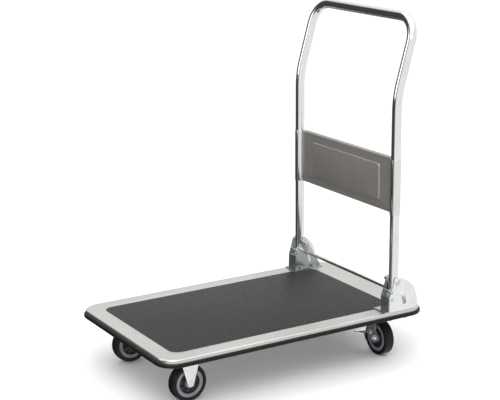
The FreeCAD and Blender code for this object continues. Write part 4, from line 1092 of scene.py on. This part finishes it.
# ---- Stage --------------------------------------------------------------
def room_light(context, level):
    """Soft room: bright window side and ceiling, pale patch behind, dark towards the front end."""
    world = bpy.data.worlds.new("room")
    context.scene.world = world
    world.use_nodes = True
    tree = world.node_tree
    background = tree.nodes["Background"]
    direction = tree.nodes.new("ShaderNodeTexCoord").outputs["Generated"]

    def facing(turn, rise, start, stop):
        turn, rise = math.radians(turn), math.radians(rise)
        dot = tree.nodes.new("ShaderNodeVectorMath")
        dot.operation = "DOT_PRODUCT"
        dot.inputs[1].default_value = (math.cos(turn) * math.cos(rise),
                                       math.sin(turn) * math.cos(rise), math.sin(rise))
        tree.links.new(direction, dot.inputs[0])
        span = tree.nodes.new("ShaderNodeMapRange")
        span.interpolation_type = "SMOOTHSTEP"
        span.inputs["From Min"].default_value = start
        span.inputs["From Max"].default_value = stop
        tree.links.new(dot.outputs["Value"], span.inputs["Value"])
        return span.outputs["Result"]

    colour = ROOM_DARK
    parts = ((facing(62, 22, 0.68, 0.94), ROOM_BACK),
             (facing(-55, 0, -0.55, -0.15), ROOM_WINDOW),
             (facing(0, 90, 0.55, 0.85), ROOM_CEILING))
    for factor, bright in parts:
        mix = tree.nodes.new("ShaderNodeMix")
        mix.data_type = "RGBA"
        tree.links.new(factor, mix.inputs["Factor"])
        if isinstance(colour, tuple):
            mix.inputs["A"].default_value = (*colour, 1)
        else:
            tree.links.new(colour, mix.inputs["A"])
        mix.inputs["B"].default_value = (*bright, 1)
        colour = mix.outputs["Result"]
    tree.links.new(colour, background.inputs["Color"])
    background.inputs["Strength"].default_value = level


def soft_lamp(context, name, place, target, size, power, tint):
    lamp = bpy.data.lights.new(name, "AREA")
    lamp.shape = "RECTANGLE"
    lamp.size, lamp.size_y = size
    lamp.energy = power
    lamp.color = tint
    holder = bpy.data.objects.new(name, lamp)
    context.scene.collection.objects.link(holder)
    holder.location = place
    holder.rotation_mode = "QUATERNION"
    holder.rotation_quaternion = (Vector(target) - Vector(place)).to_track_quat("-Z", "Y")


class CART_OT_stage(bpy.types.Operator):
    """Pale floor, soft light and the camera"""
    bl_idname = "cart.stage"
    bl_label = "Stage"

    def execute(self, context):
        settings = context.scene.cart_stage
        context.scene.view_settings.view_transform = "Standard"
        finish = Finish("floor_paper", settings.floor, 0.0, 0.85)
        mottle = finish.spread(finish.grain(2, 2), 0, 1)
        finish.paint(finish.colours(mottle, settings.floor, shade(settings.floor, 0.99)))
        bm = bmesh.new()
        corners = ((-1, -1), (1, -1), (1, 1), (-1, 1))
        bm.faces.new([bm.verts.new((x * FLOOR_REACH, y * FLOOR_REACH, 0)) for x, y in corners])
        mesh = finish_mesh("floor", bm)
        mesh.materials.append(finish.material)
        floor = bpy.data.objects.new("floor", mesh)
        context.scene.collection.objects.link(floor)
        floor.visible_glossy = False
        room_light(context, settings.room_level)
        soft_lamp(context, "key_light", (-1.6, -2.4, 3.2), (0, 0, 0.2), (2.2, 2.2),
                  settings.key_power, (1, 0.99, 0.98))
        soft_lamp(context, "fill_light", (-3.0, 1.0, 1.6), (0, 0, 0.3), (1.8, 1.8),
                  settings.fill_power, (0.98, 0.99, 1))
        camera = bpy.data.cameras.new("camera")
        camera.lens = settings.lens
        camera.sensor_width = SENSOR_WIDTH
        camera.clip_start, camera.clip_end = 0.05, 100
        holder = bpy.data.objects.new("camera", camera)
        context.scene.collection.objects.link(holder)
        forward = Vector((math.sin(CAMERA_TURN) * math.cos(CAMERA_DIP),
                          math.cos(CAMERA_TURN) * math.cos(CAMERA_DIP), -math.sin(CAMERA_DIP)))
        level = Vector((math.cos(CAMERA_TURN), -math.sin(CAMERA_TURN), 0))
        down = forward.cross(level)
        right = level * math.cos(CAMERA_ROLL) + down * math.sin(CAMERA_ROLL)
        down = down * math.cos(CAMERA_ROLL) - level * math.sin(CAMERA_ROLL)
        pose = Matrix((right, -down, -forward)).transposed().to_4x4()
        pose.translation = Vector(CAMERA_PLACE)
        holder.matrix_world = pose
        context.scene.camera = holder
        return {"FINISHED"}


# ---- Panel and running --------------------------------------------------
BUILDERS = (CART_OT_platform_pan, CART_OT_platform_mat, CART_OT_edge_bumper, CART_OT_under_channels,
            CART_OT_bracket_plates, CART_OT_bracket_fasteners, CART_OT_handle_tube, CART_OT_handle_panel,
            CART_OT_release_bar, CART_OT_return_springs, CART_OT_wheels, CART_OT_fixed_forks,
            CART_OT_swivel_casters, CART_OT_brake_pedals, CART_OT_caster_fasteners, CART_OT_stage)
GROUPS = (("cart_platform", CartPlatformSettings), ("cart_handle", CartHandleSettings),
          ("cart_casters", CartCasterSettings), ("cart_stage", CartStageSettings))


class CART_PT_sidebar(bpy.types.Panel):
    """Lists the cart's builders and settings"""
    bl_idname = "CART_PT_sidebar"
    bl_label = "Platform Cart"
    bl_space_type = "VIEW_3D"
    bl_region_type = "UI"
    bl_category = "Cart"

    def draw(self, context):
        for attribute, group in GROUPS:
            column = self.layout.column(align=True)
            for name in group.__annotations__:
                column.prop(getattr(context.scene, attribute), name)
        column = self.layout.column(align=True)
        for builder in BUILDERS:
            column.operator(builder.bl_idname)


def register():
    for attribute, group in GROUPS:
        bpy.utils.register_class(group)
        setattr(bpy.types.Scene, attribute, PointerProperty(type=group))
    for builder in BUILDERS:
        bpy.utils.register_class(builder)
    bpy.utils.register_class(CART_PT_sidebar)


def unregister():
    bpy.utils.unregister_class(CART_PT_sidebar)
    for builder in reversed(BUILDERS):
        bpy.utils.unregister_class(builder)
    for attribute, group in reversed(GROUPS):
        delattr(bpy.types.Scene, attribute)
        bpy.utils.unregister_class(group)


def main():
    register()
    for builder in BUILDERS:
        family, action = builder.bl_idname.split(".")
        getattr(getattr(bpy.ops, family), action)()


if __name__ == "__main__":
    main()
